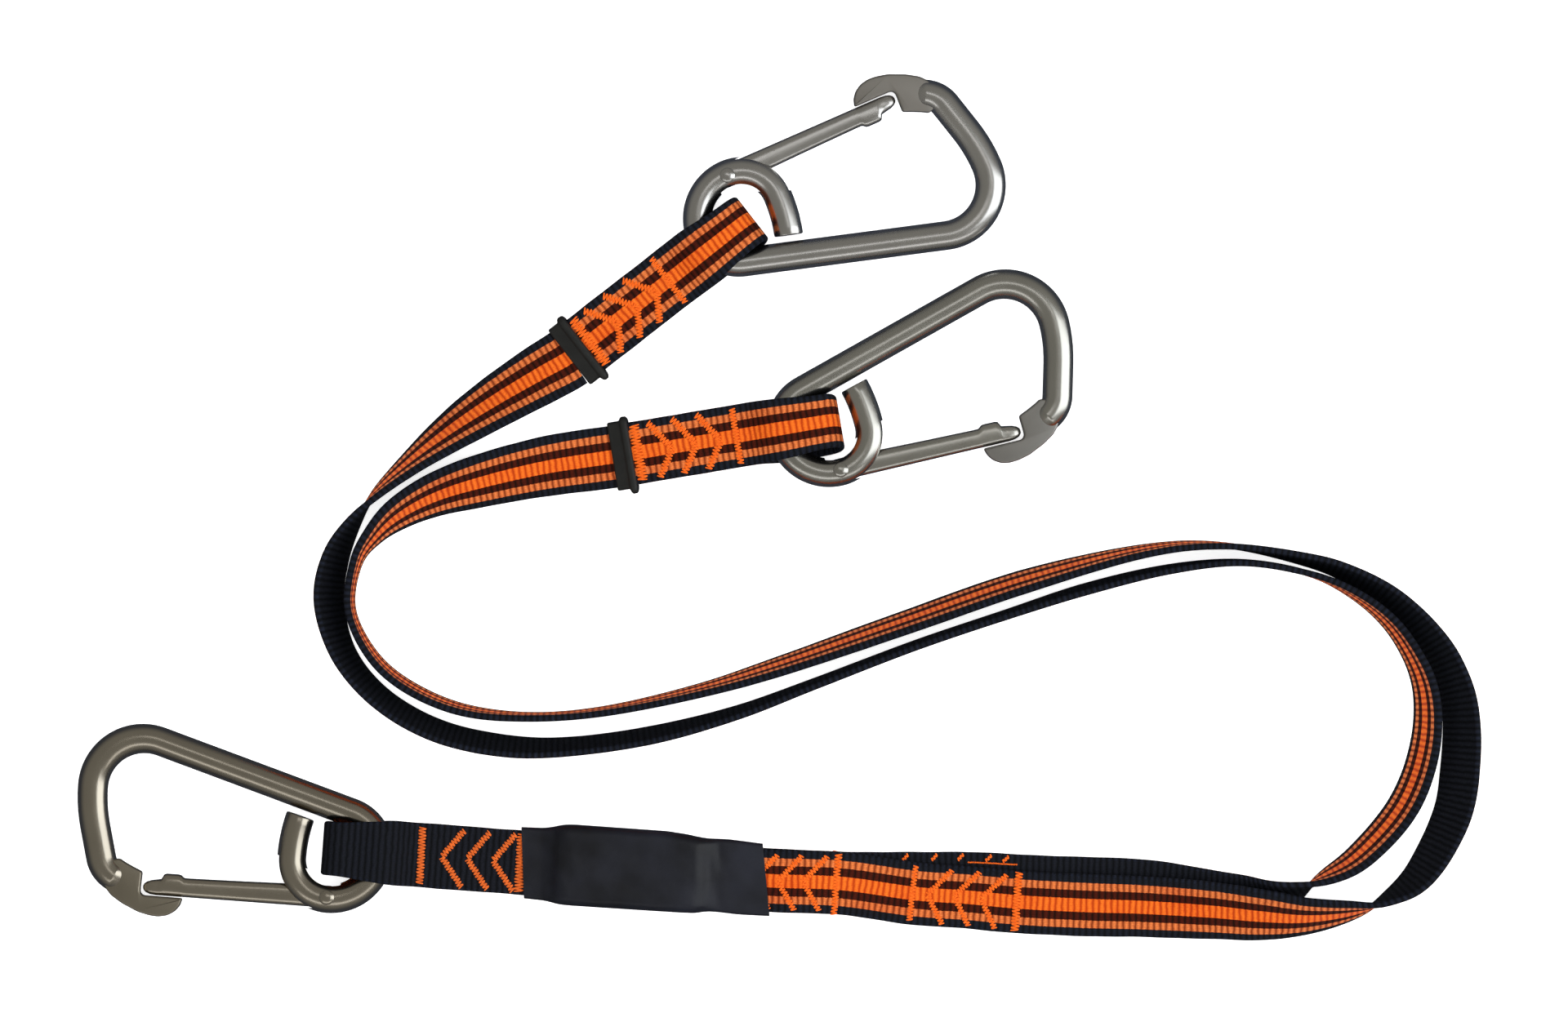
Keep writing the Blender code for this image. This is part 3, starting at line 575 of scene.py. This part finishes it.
class Course:
    """The middle line of one leg, from inside the cover to its doubled end."""

    def __init__(self, end):
        sewn, route = LEGS[end]
        roll = route[0][2]
        points = [(x, y, z, roll, WEB_WIDTH) for x, y, z in sewn]
        points[-1] = (points[-1][0] + GAP / 2, *points[-1][1:])
        self.free = len(points) - 1
        points += [(x, y, route_height(turn, *lift), turn, WEB_WIDTH)
                   for x, y, turn, *lift in route[1:-1]]
        self.lap = len(points)
        neck = strap_frame(end)
        drop, length = lap_drop(end)
        # on into the doubled end, so that the strap meets it straight
        for back in (length + GAP / 2, length - RUN_ON, length - 2 * RUN_ON):
            place = neck @ Vector((-back, 0.0, PLY - drop * back / length))
            points.append((*place, 0.0, WEB_WIDTH))
        self.points = points

    def line(self, low, high, step, start=0.0):
        """Stations between two places on the course, about step apart, their lengths counted
        from start."""
        fine = 10           # samples per control point, to measure the length
        reach = 0.25        # how far either way the direction is taken, in control points
        spots = even(low, high, round((high - low) * fine))
        raw = [spline(self.points, spot) for spot in spots]
        lengths = [0.0]
        for here, there in zip(raw, raw[1:]):
            lengths.append(lengths[-1] + (Vector(there[:3]) - Vector(here[:3])).length)
        number = max(2, round(lengths[-1] / step))
        stations, index = [], 0
        for want in even(0.0, lengths[-1], number):
            while index < len(lengths) - 2 and lengths[index + 1] < want:
                index += 1
            share = (want - lengths[index]) / (lengths[index + 1] - lengths[index])
            spot = spots[index] + share * (spots[index + 1] - spots[index])
            here = spline(self.points, spot)
            ahead = spline(self.points, min(spot + reach, len(self.points) - 1))
            behind = spline(self.points, max(spot - reach, 0.0))
            forward = (Vector(ahead[:3]) - Vector(behind[:3])).normalized()
            left = Vector((0, 0, 1)).cross(forward).normalized()
            up = forward.cross(left)
            lean = radians(here[3])
            across = cos(lean) * left + sin(lean) * up
            stations.append((Vector(here[:3]), across, forward.cross(across), start + want,
                             here[4]))
        return stations


PLIES_PART = 0.5            # x from which the plies of a doubled end part, towards the eye
NARROW_FROM = 6.0           # x from which the webbing narrows
NARROW_OVER = 23.0
UNDER_SHORT = 2.0           # how much shorter the lower ply of a leg's lap is
# Stations of a doubled end: along each ply, along each straight side of the eye, round the rod
PLY_STEPS = 44
EYE_STEPS = 5
ROD_TURN_STEPS = 24


def end_line(end, start):
    """Stations of the doubled end: along the upper ply, round the hook, back along the lower."""
    neck = strap_frame(end)
    turn = neck.to_3x3()
    drop, length = lap_drop(end)
    # bend of the ply's middle round the rod, x of the rod, x where the plies run parallel
    radius = ROD_RADIUS + EYE_CLEAR + WEB_THICK / 2
    rod = EYE_LENGTH - ROD_RADIUS - EYE_CLEAR - WEB_THICK
    flat = rod - EYE_STRAIGHT
    width = HARNESS_WIDTH if end == "harness" else WEB_WIDTH
    skew = FOLD_SKEW.get(end, 0.0)

    def height(x):
        """Half the distance between the plies' middles."""
        return PLY + (radius - PLY) * smooth((x - PLIES_PART) / (flat - PLIES_PART))

    def middle(x):
        return drop * x / length if x < 0 else 0.0

    def wide(x):
        return width + (EYE_WIDTH - width) * smooth((x - NARROW_FROM) / NARROW_OVER)

    # (x, z, shift across): upper ply, side of the eye, round the rod, and back underneath
    begin = -length - (0.0 if end == "harness" else GAP / 2)
    tail = -length + (0.0 if end == "harness" else UNDER_SHORT)
    path = [(x, middle(x) + height(x), 0.0) for x in even(begin, flat, PLY_STEPS)]
    path += [(x, radius, 0.0) for x in even(flat, rod, EYE_STEPS)[1:-1]]
    path += [(x, z, skew * smooth(0.5 - z / (2 * radius)))
             for x, z in arc((rod, 0.0), radius, 90, -90, ROD_TURN_STEPS)]
    path += [(x, -radius, skew * smooth(x / rod)) for x in even(rod, flat, EYE_STEPS)[1:-1]]
    path += [(x, middle(x) - height(x), skew * smooth(x / rod))
             for x in even(flat, tail, PLY_STEPS)]
    stations = []
    total = start
    across = Vector((0, 1, 0))
    for i, (x, z, shift) in enumerate(path):
        before, after = path[max(i - 1, 0)], path[min(i + 1, len(path) - 1)]
        way = Vector((after[0] - before[0], 0.0, after[1] - before[1])).normalized()
        if i:
            total += hypot(x - before[0], z - before[1])
        out = way.cross(across)
        stations.append((neck @ Vector((x, shift, z)), turn @ across, turn @ out, total, wide(x)))
    return stations


# ---- stitching

THREAD = 0.30               # radius
THREAD_SIDES = 6
THREAD_LIFT = 0.02
STITCH_PITCH = 0.56
STITCH_LEAN = 0.24          # how far a stitch slants either way along its line
STITCH_JITTER = 0.05        # how unevenly wide a line is, of its width
# One stitch from end to end: (share of its length, share of the thread's radius, rise)
STITCH_PROFILE = ((0.0, 0.35, -0.26), (0.1, 0.9, -0.08), (0.35, 1.0, 0.0), (0.65, 1.0, 0.0),
                  (0.9, 0.9, -0.08), (1.0, 0.35, -0.26))


def stitch_mesh(name, lines, surface, thread):
    """Zigzag tacks along lines ((s, v), (s, v), width) on surface(s, v) -> place, out."""
    shape = bmesh.new()
    for (s0, v0), (s1, v1), width in lines:
        length = hypot(s1 - s0, v1 - v0)
        ds, dv = (s1 - s0) / length, (v1 - v0) / length
        count = round(length / STITCH_PITCH)
        for k in range(count):
            t = length * (k + 0.5) / count
            # uneven, and the same in every run
            jitter = STITCH_JITTER * sin(7.3 * k + 3.1 * s0 + v0) * width
            lean = STITCH_LEAN if k % 2 else -STITCH_LEAN
            ends = []
            for side in (-1, 1):
                reach = side * width / 2 + jitter
                s = s0 + ds * (t + side * lean) - dv * reach
                v = v0 + dv * (t + side * lean) + ds * reach
                ends.append((s, v))
            add_stitch(shape, ends, surface)
    return link(name, finish_mesh(shape, name, sharp=70.0), [thread])


def add_stitch(shape, ends, surface):
    rows = []
    (s0, v0), (s1, v1) = ends
    start, _ = surface(s0, v0)
    finish, _ = surface(s1, v1)
    way = (finish - start).normalized()
    for share, fat, rise in STITCH_PROFILE:
        place, out = surface(s0 + (s1 - s0) * share, v0 + (v1 - v0) * share)
        side = way.cross(out).normalized()
        centre = place + out * (rise + THREAD_LIFT)
        turns = [2 * pi * k / THREAD_SIDES for k in range(THREAD_SIDES)]
        rows.append([shape.verts.new(centre + THREAD * fat * (cos(turn) * side + sin(turn) * out))
                     for turn in turns])
    skin(shape, rows)


def station_surface(stations, back=False):
    """surface(s, v) on a ribbon's face or back, s measured as its stations measure it."""
    side = -1 if back else 1

    def surface(s, v):
        index = 0
        while index < len(stations) - 2 and stations[index + 1][3] < s:
            index += 1
        here, there = stations[index], stations[index + 1]
        share = (s - here[3]) / (there[3] - here[3])
        place = here[0].lerp(there[0], share)
        across = here[1].lerp(there[1], share).normalized()
        out = here[2].lerp(there[2], share).normalized() * side
        return place + across * v + out * WEB_THICK / 2, out
    return surface


def lap_surface(end, below=False):
    """surface(s, v) on a doubled end: s is millimetres behind the neck."""
    neck = strap_frame(end)
    drop, length = lap_drop(end)
    side = -1 if below else 1
    turn = neck.to_3x3()

    def surface(s, v):
        place = neck @ Vector((-s, v, -drop * s / length + side * DOUBLE / 2))
        return place, turn @ Vector((0, 0, side))
    return surface


# ---- hook, in its own frame

ROD_SIDES = 40
ROD_STEP = 3.0              # degrees in a bend, millimetres in a straight
# The rod's end inside the nose: (set back, share of the radius in the hook's plane, and out of it)
NOSE_END = ((2.2, 0.90, 0.62), (1.9, 0.94, 0.66), (0.2, 0.98, 0.93), (-0.4, 1.0, 0.99))
# The free end's rounded edge: (set back, inset)
FREE_END = ((0.5, 0.0), (0.15, 0.15), (0.0, 0.5))


def rod_stations():
    """(x, y, heading, radius) along the bent rod, swelling through the big end."""
    x, y = NOSE_SHOULDER
    heading = NOSE_HEADING
    stations = [(x, y, heading)]
    for size, turn in ROD_BENDS:
        steps = round((turn or size) / ROD_STEP)
        part = turn / steps
        chord = 2 * size * sin(radians(part / 2)) if turn else size / steps
        for _ in range(steps):
            x += chord * cos(radians(heading + part / 2))
            y += chord * sin(radians(heading + part / 2))
            heading += part
            stations.append((x, y, heading))
    result = []
    for x, y, heading in stations:
        share = min(max((heading - NOSE_HEADING) / BIG_END_TURN, 0.0), 1.0)
        swell = 1.0 + (BIG_END_SWELL - 1.0) * sin(pi * share)
        result.append((x, y, heading, ROD_RADIUS * swell))
    return result


def rod_ring(station, back, flat, inset=0.0, share=1.0):
    """A section of the rod set back along it; flat is its half size out of the hook's plane."""
    x, y, heading, radius = station
    way = Vector((cos(radians(heading)), sin(radians(heading)), 0))
    side = Vector((-way.y, way.x, 0))
    turns = [2 * pi * i / ROD_SIDES for i in range(ROD_SIDES)]
    return [Vector((x - way.x * back, y - way.y * back, flat * sin(turn)))
            + (radius * share - inset) * cos(turn) * side for turn in turns]


def rod_rings():
    first, *between, last = rod_stations()
    return ([rod_ring(first, back, ROD_RADIUS * flat, share=share)
             for back, share, flat in NOSE_END]
            + [rod_ring(station, 0.0, ROD_RADIUS) for station in between]
            + [rod_ring(last, back, ROD_RADIUS - inset, inset) for back, inset in FREE_END])


def rounded_plate(outline, half, edge):
    """A flat plate, half its thickness given, with its long edges rounded over edge."""
    count = len(outline)
    normals = []
    for i, (x, y) in enumerate(outline):
        before, after = outline[i - 1], outline[(i + 1) % count]
        pair = []
        for (ax, ay), (bx, by) in ((before, (x, y)), ((x, y), after)):
            length = hypot(bx - ax, by - ay)
            pair.append((-(by - ay) / length, (bx - ax) / length))
        nx, ny = pair[0][0] + pair[1][0], pair[0][1] + pair[1][1]
        # further in at a corner, up to a limit
        scale = min(2.0 / (nx * nx + ny * ny), 1.4)
        normals.append((nx * scale, ny * scale))
    levels = [(edge * (1 - sin(angle)), -half + edge * (1 - cos(angle)))
              for angle in even(0.0, pi / 2, 4)]
    levels += [(inset, -z) for inset, z in levels[::-1]]
    return loft([[(x + nx * inset, y + ny * inset, z)
                  for (x, y), (nx, ny) in zip(outline, normals)] for inset, z in levels])


def rounded_corners(points, radius):
    """Round every corner of an outline a little."""
    result = []
    count = len(points)
    for i in range(count):
        here = Vector(points[i])
        before, after = Vector(points[i - 1]), Vector(points[(i + 1) % count])
        reach = min(radius, (here - before).length * 0.45, (after - here).length * 0.45)
        start = here + (before - here).normalized() * reach
        end = here + (after - here).normalized() * reach
        for t in even(0.0, 1.0, 3):
            result.append(tuple((1 - t) ** 2 * start + 2 * t * (1 - t) * here + t * t * end))
    return result


def nose_outline():
    """Round the nose: inside the hook, the notch for the gate's tip, the tip, the outside."""
    inside = [(78.4, 1.0), (77.8, 5.0), (74.9, 7.2), (72.4, 7.9), (70.2, 6.6), (67.4, 5.3),
              (64.1, 3.9)]
    notch = [(64.4, -1.6)] + arc((62.6, -2.4), 1.8, -10, -90, 4) + [(49.7, -4.2)]
    tip = [(50.4, -6.8), (52.1, -9.0), (54.5, -10.5), (57.4, -11.1)]
    under = [(60.5, -10.9), (64.5, -10.0), (70.2, -7.5), (74.2, -5.0), (76.0, -3.0)]
    return inside + notch + tip + under


def slot_outline():
    """The slot in the rod's eye, clear of the gate's heel both shut and open."""
    lean = radians(GATE_OPEN)
    along, above = 24, 4.3      # the slot's far corner, measured on the open gate
    top = [(SLOT_FLOOR, 5.4), (0.0, 6.4), (along * cos(lean) - above * sin(lean),
                                           along * sin(lean) + above * cos(lean))]
    floor = [(SLOT_FLOOR, 1.4)] + arc((0, 0), 4.1, 165, 262, 12)
    return [(26.0, 10.0), (26.0, -5.2), (6.0, -4.15)] + floor[::-1] + top


# The gate from heel to tip: (x, lower side, upper side, half thickness)
GATE_STATIONS = ((-3.6, -0.5, 0.9, 0.6), (-3.45, -1.3, 1.9, 1.3), (-3.0, -2.2, 3.0, 1.8),
                 (-2.2, -2.9, 3.7, 2.15), (-1.0, -3.45, 4.0, 2.3), (2.0, -3.65, 4.05, 2.3),
                 (17.0, -3.7, 3.65, 2.3), (32.0, -3.75, 3.2, 2.3), (47.8, -3.8, 2.8, 2.3),
                 (49.3, -3.8, 2.8, 2.3), (49.9, -3.8, 3.1, 2.3), (50.6, -3.8, 3.75, 2.3),
                 (51.6, -3.8, 3.95, 2.3), (55.6, -3.8, 3.9, 2.3), (56.5, -3.8, 3.6, 2.25),
                 (57.0, -3.8, 2.7, 2.2), (57.4, -3.8, 1.9, 2.1), (59.0, -3.8, 1.6, 2.0),
                 (61.0, -3.6, 1.2, 1.8), (62.4, -3.1, 0.6, 1.5), (63.2, -2.4, -0.1, 1.0),
                 (63.5, -1.7, -0.7, 0.4))
GATE_SIDES = 32
GATE_SQUARE = 0.72          # 1 makes the gate's section an ellipse, 0 a rectangle


def gate_rings():
    """Rounded sections along the gate."""
    def squared(value):
        return copysign(abs(value) ** GATE_SQUARE, value)

    turns = [2 * pi * i / GATE_SIDES for i in range(GATE_SIDES)]
    return [[(x, (high + low) / 2 + (high - low) / 2 * squared(cos(turn)),
              half * squared(sin(turn))) for turn in turns]
            for x, low, high, half in GATE_STATIONS]


def prism_cut(item, outline, half):
    """Cut a straight-sided hole of an outline through an item's mesh."""
    block = loft([[(x, y, z) for x, y in outline] for z in (-half, half)])
    cutter = link("cutter", finish_mesh(block, "cutter"))
    step = item.modifiers.new("cut", "BOOLEAN")
    step.operation = "DIFFERENCE"
    step.solver = "EXACT"
    step.object = cutter
    bpy.context.view_layer.update()
    graph = bpy.context.evaluated_depsgraph_get()
    result = bpy.data.meshes.new_from_object(item.evaluated_get(graph))
    item.modifiers.remove(step)
    old = item.data
    item.data = result
    bpy.data.meshes.remove(old)
    bpy.data.objects.remove(cutter, do_unlink=True)


ROD_SHARP = 32.0            # degrees between faces that keep a sharp edge
RIVET_SIDES = 32
RIVET_REACH = ROD_RADIUS + 0.35
# Half of the rivet, from the middle of its domed head inwards: (radius, height over the reach)
RIVET_PROFILE = ((0.01, 0.78), (0.9, 0.72), (1.6, 0.55), (2.2, 0.3), (PIN_HEAD_RADIUS, -0.05),
                 (PIN_HEAD_RADIUS, -0.3), (PIN_RADIUS, -0.3))


def rivet_rings():
    half = [(radius, RIVET_REACH + height) for radius, height in RIVET_PROFILE]
    turns = [2 * pi * i / RIVET_SIDES for i in range(RIVET_SIDES)]
    return [[(radius * cos(turn), radius * sin(turn), z) for turn in turns]
            for radius, z in half + [(radius, -z) for radius, z in half[::-1]]]


def hook_masters(steel, satin):
    """Meshes of the hook's visible pieces, in the hook's own frame."""
    rod = link("rod_master", finish_mesh(loft(rod_rings()), "rod", sharp=ROD_SHARP), [steel])
    prism_cut(rod, slot_outline(), SLOT_WIDTH / 2)
    rod.data.shade_smooth()
    rod.data.set_sharp_from_angle(angle=radians(ROD_SHARP))
    outline = rounded_corners(nose_outline(), NOSE_CORNER)
    nose = finish_mesh(rounded_plate(outline, NOSE_THICK / 2, NOSE_EDGE), "nose", sharp=28.0)
    nose.materials.append(satin)
    gate = finish_mesh(loft(gate_rings()), "gate", sharp=50.0)
    gate.materials.append(steel)
    rivet = finish_mesh(loft(rivet_rings()), "rivet")
    rivet.materials.append(steel)
    mesh = rod.data
    bpy.data.objects.remove(rod, do_unlink=True)
    return {"rod": mesh, "nose": nose, "gate": gate, "rivet": rivet}


def joint(name):
    return next(j for j in frame["joints"] if j["name"] == name)


def hook_frame(end):
    """The hook's frame from its joints: the gate's pin and the plunger's way."""
    hinge = joint(f"{end}_gate_hinge")
    up = Vector(hinge["axis"]).normalized()
    along = Vector(joint(f"{end}_plunger_slide")["axis"]).normalized()
    side = up.cross(along).normalized()
    matrix = Matrix((side.cross(up), side, up)).transposed().to_4x4()
    matrix.translation = Vector(hinge["pos_m"])
    return matrix


def hooks(steels, satins):
    for end in NECK:
        masters = hook_masters(steels[end], satins[end])
        matrix = hook_frame(end)
        for piece, body, node in (("rod", "hook", "hook_frame"), ("nose", "hook", None),
                                  ("gate", "gate", "gate"), ("rivet", "hook", "gate_rivet")):
            masters[piece].transform(matrix)
            item = link(f"{end}_{piece}_look", masters[piece])
            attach(item, f"{end}_{body}")
            if node:
                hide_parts(f"{end}_{node}")


# ---- absorber cover

# Stations of the cover: (x, y of its middle, width, height, corner radius)
COVER = ((-37.9, -1.0, 24.4, 7.2, 1.3), (-30.5, -1.05, 24.9, 7.6, 1.5),
         (-28.0, -0.9, 25.8, 11.0, 2.4), (-25.0, -0.75, 27.3, 15.2, 3.0),
         (-21.5, -0.7, 27.8, 16.4, 3.2), (11.0, -0.8, 27.6, 16.4, 3.2),
         (18.0, -1.1, 26.9, 16.4, 3.2), (22.5, -1.4, 26.1, 15.4, 3.0),
         (25.5, -1.15, 25.1, 11.2, 2.4), (29.0, -1.0, 25.1, 7.9, 1.5),
         (35.0, -1.2, 25.6, 7.6, 1.4), (46.0, -1.5, 24.7, 7.3, 1.3))
COVER_WALL = 0.7
COVER_STEPS = 150
LEAST_CORNER = 0.35
CORNER_STEPS = 6
FLAT_STEPS = 16             # across the top and the underside
SIDE_STEPS = 4
# The ends run slanting across: from this x either way, over this length, slant at -x and +x
COVER_SLANT = (25.0, 12.0, -0.10, -0.16)


def cover_at(x):
    """(y, width, height, corner) of the cover's outside at x, smoothed."""
    def raw(place):
        place = min(max(place, COVER[0][0]), COVER[-1][0])
        for here, there in zip(COVER, COVER[1:]):
            if place <= there[0]:
                share = (place - here[0]) / (there[0] - here[0])
                return [a + (b - a) * share for a, b in zip(here[1:], there[1:])]
        return list(COVER[-1][1:])
    # the mean over three millimetres
    taps = [raw(x + d) for d in (-1.5, -0.75, 0.0, 0.75, 1.5)]
    return [sum(values) / len(values) for values in zip(*taps)]


def cover_dent(x, side, up):
    """How far the film is pressed in (negative) or out at a point of the cover."""
    # a crease at each collar, ripples on the shoulders, a slack top with a dimple and a bulge
    creases = -0.34 * exp(-((x + 27.6) / 1.5) ** 2) - 0.30 * exp(-((x - 26.0) / 1.4) ** 2)
    ripple = 0.10 * sin(0.9 * x + 0.35 * side) * exp(-((abs(x - 1) - 26) / 7.0) ** 2)
    flat = 0.0
    if up > 0:
        flat = -0.30 * exp(-((x - 2.2) / 1.9) ** 2 - ((side - 5.2) / 1.7) ** 2)
        flat += -0.35 * exp(-((x + 2.0) / 17.0) ** 4 - (side / 8.6) ** 4)
        flat += 0.12 * exp(-((x - 12.0) / 5.0) ** 2 - ((side + 1.0) / 2.6) ** 2)
    return creases + ripple + flat + 0.07 * sin(0.31 * x + 0.6 * side + up)


def cover_ring(x, inset):
    """The cover's section at x, its outside or a wall's thickness inside it."""
    y, width, height, corner = cover_at(x)
    a, b = width / 2 - inset, height / 2 - inset
    corners = round_box(a, b, max(corner - inset, LEAST_CORNER), CORNER_STEPS)
    outline = []
    for points, after, steps in zip(corners, corners[1:] + corners[:1],
                                    (FLAT_STEPS, SIDE_STEPS, FLAT_STEPS, SIDE_STEPS)):
        last, first = points[-1], after[0]
        outline += points
        outline += list(zip(even(last[0], first[0], steps), even(last[1], first[1], steps)))[1:-1]
    start, reach, left, right = COVER_SLANT
    slant = (left if x < 0 else right) * smooth((abs(x) - start) / reach)
    ring = []
    for side, up in outline:
        dent = 0.0 if inset else cover_dent(x, side, up)
        # only the upper and the lower face are dented
        high = abs(up) / b
        shrink = 1 + dent / b * high ** 2 if high > 0.5 else 1.0
        ring.append((x + slant * side, y + side, RUN_HEIGHT + up * shrink))
    return ring


def cover_object(material):
    stations = even(COVER[0][0], COVER[-1][0], COVER_STEPS)
    rings = ([cover_ring(x, 0.0) for x in stations]
             + [cover_ring(x, COVER_WALL) for x in stations[::-1]])
    mesh = finish_mesh(loft(rings, closed=True), "absorber_cover_look", sharp=45.0)
    item = link("absorber_cover_look", mesh, [material])
    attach(item, "lanyard")
    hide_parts("absorber_cover")


# ---- keeper

# The keeper from its thin end towards the hook: (x from its middle, wall, size of its ears)
KEEPER_STATIONS = ((-3.5, 0.3, 0.0), (-3.35, 0.6, 0.0), (-3.0, 0.75, 0.0), (0.5, 0.75, 0.0),
                   (0.8, 0.95, 0.2), (1.1, 1.3, 0.7), (1.6, 1.5, 1.1), (2.6, 1.5, 1.1),
                   (3.1, 1.3, 0.8), (3.4, 0.95, 0.3), (3.5, 0.6, 0.0))
SMALL_EAR = 0.45            # the ear at +Y, as a share of the one at -Y
EAR_REACH = 2.5             # how far in from the side an ear begins
KEEPER_CORNER = 0.4         # corner radius of its opening


def keeper_ring(x, wall, ear):
    a, b = WEB_WIDTH / 2 + KEEPER_CLEAR + wall, DOUBLE / 2 + KEEPER_CLEAR + wall
    ring = []
    for side, up in sum(round_box(a, b, KEEPER_CORNER + wall, CORNER_STEPS), []):
        reach = ear * smooth((abs(side) - a + EAR_REACH) / EAR_REACH)
        ring.append((x, side + SMALL_EAR * reach if side > 0 else side - reach, up))
    return ring


def keeper_object(end, material):
    neck = strap_frame(end)
    drop, length = lap_drop(end)
    matrix = (neck @ Matrix.Translation((-KEEPER_PLACE, 0, -drop * KEEPER_PLACE / length))
              @ Matrix.Rotation(-atan2(drop, length), 4, "Y"))
    low, high = KEEPER_STATIONS[0][0], KEEPER_STATIONS[-1][0]
    rings = [keeper_ring(*station) for station in KEEPER_STATIONS]
    rings += [keeper_ring(high, 0.0, 0.0), keeper_ring(low, 0.0, 0.0)]
    mesh = finish_mesh(loft(rings, closed=True), f"{end}_keeper_look", sharp=50.0)
    matrix.translation *= MM
    mesh.transform(matrix)
    item = link(f"{end}_keeper_look", mesh, [material])
    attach(item, f"{end}_keeper")
    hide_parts(f"{end}_keeper")


# ---- assembly

def straps(faces):
    """Both legs' sewn and free stretches; their stations, by leg."""
    result = {}
    for end in LEGS:
        course = Course(end)
        sewn = course.line(0, course.free, step=2.0)
        free = course.line(course.free, course.lap, step=2.4, start=sewn[-1][3])
        item = ribbon(f"{end}_strap_look", free, faces)
        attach(item, "lanyard")
        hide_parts(f"{end}_strap")
        item = ribbon(f"{end}_sewn_end_look", sewn, faces)
        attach(item, "lanyard")
        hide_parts(f"{end}_sewn_end")
        result[end] = (sewn, free)
    return result


def bend_at_neck(item):
    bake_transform(item)


def end_stitches(end):
    """Two bars and three chevrons, placed back from the neck: (from, to, width)."""
    if end == "harness":
        lines = [((0.9, -9.6), (1.3, 9.8), 2.8)]
        for apex in (8.3, 17.1, 26.0):
            lines.append(((apex, 0.2), (apex + 7.4, 9.9), 2.4))
            lines.append(((apex, -0.2), (apex + 7.0, -9.6), 2.4))
        return lines + [((35.1, -9.9), (35.5, 10.0), 3.6)]
    half = 9.6
    lines = [((3.2, -half), (3.2, half), 2.5), ((37.4, -half), (37.4, half), 3.8)]
    for apex in (9.2, 17.7, 26.1):
        lines.append(((apex, 0.2), (apex + 6.4, half), 2.7))
        lines.append(((apex - 0.8, -0.2), (apex + 5.2, -half), 2.7))
    return lines


def ends(courses, faces, threads):
    striped, black, edge = faces
    for end in NECK:
        start = courses[end][1][-1][3] if end in courses else 0.0
        item = ribbon(f"{end}_doubled_end", end_line(end, start),
                      [black, striped, edge] if end == "harness" else faces)
        bend_at_neck(item)
        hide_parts(f"{end}_lap", f"{end}_eye")
        lines = end_stitches(end)
        for below in (False, True):
            made = stitch_mesh(f"{end}_stitches_{'under' if below else 'top'}", lines,
                               lap_surface(end, below), threads[end])
            bend_at_neck(made)


def joint_stitches(courses, thread):
    """The two blocks that join the legs, above, below, and at the lower leg's edge."""
    top, under = courses["leg_b"][0], courses["leg_a"][0]
    # places are x in the frame; the stations' lengths start inside the cover
    start = top[0][0].x
    # (x of a chevron's apex, how far its upper and its lower arm reach)
    places = ([(x, 8.0, 5.8) for x in (41.5, 50.1, 58.7)]
              + [(x, 8.0, 5.6) for x in (102.1, 111.4, 120.7)])
    lines = [((70.1 - start, -10.9), (70.1 - start, 10.0), 2.6),
             ((96.8 - start, -9.4), (96.8 - start, 9.6), 2.3),
             ((133.0 - start, -10.0), (133.0 - start, 10.2), 3.0)]
    for apex, upper, lower in places:
        lines.append(((apex - start, 0.2), (apex + upper - start, 9.0), 2.2))
        lines.append(((apex - start, -0.2), (apex + lower - start, -9.8), 2.2))
    shown = [((x - start - 1.0, -7.9), (x - start + 0.9, -9.9), 1.3)
             for x in (94.1, 104.3, 113.2, 122.5, 128.4)]
    shown.append(((115.5 - start, -7.2), (132.5 - start, -7.2), 0.4))
    for name, block, surface in (("top", lines, station_surface(top)),
                                 ("edge", shown, station_surface(under, back=True)),
                                 ("under", lines, station_surface(under))):
        item = stitch_mesh(f"joint_stitches_{name}", block, surface, thread)
        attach(item, "lanyard")


def dress(name, material):
    """Give a piece that is shown as modelled its material."""
    mesh = frame["nodes"][name].data
    mesh.materials.clear()
    mesh.materials.append(material)


# Each hook's bare steel and its satin nose
STEELS = {"harness": ("c", (0.42, 0.38, 0.315, 1.0), (0.32, 0.285, 0.225, 1.0)),
          "leg_a": ("a", (0.55, 0.54, 0.525, 1.0), (0.39, 0.37, 0.345, 1.0)),
          "leg_b": ("b", (0.49, 0.48, 0.445, 1.0), (0.37, 0.36, 0.345, 1.0))}
STEEL_ROUGHNESS = 0.25
SATIN_ROUGHNESS = 0.42


def build():
    camera()
    studio()
    # face, back and edges of a leg's webbing
    faces = [webbing_paint("striped_webbing_look", True),
             webbing_paint("black_webbing_look", False), edge_paint()]
    courses = straps(faces)
    bright = thread_paint("thread_bright", srgb(198, 72, 10), srgb(232, 110, 30))
    dull = thread_paint("thread_dull", srgb(158, 64, 20), srgb(224, 108, 42))
    ends(courses, faces, {"harness": dull, "leg_a": bright, "leg_b": bright})
    joint_stitches(courses, bright)
    steels = {end: steel_paint(f"steel_{mark}", steel, STEEL_ROUGHNESS)
              for end, (mark, steel, _) in STEELS.items()}
    satins = {end: steel_paint(f"satin_{mark}", satin, SATIN_ROUGHNESS)
              for end, (mark, _, satin) in STEELS.items()}
    hooks(steels, satins)
    cover_object(cover_paint())
    rubber = rubber_paint()
    for end in LEGS:
        keeper_object(end, rubber)
    for end in NECK:
        for piece in ("gate_plunger", "gate_spring"):
            dress(f"{end}_{piece}", steels[end])
    dress("tear_webbing", faces[-1])


build()
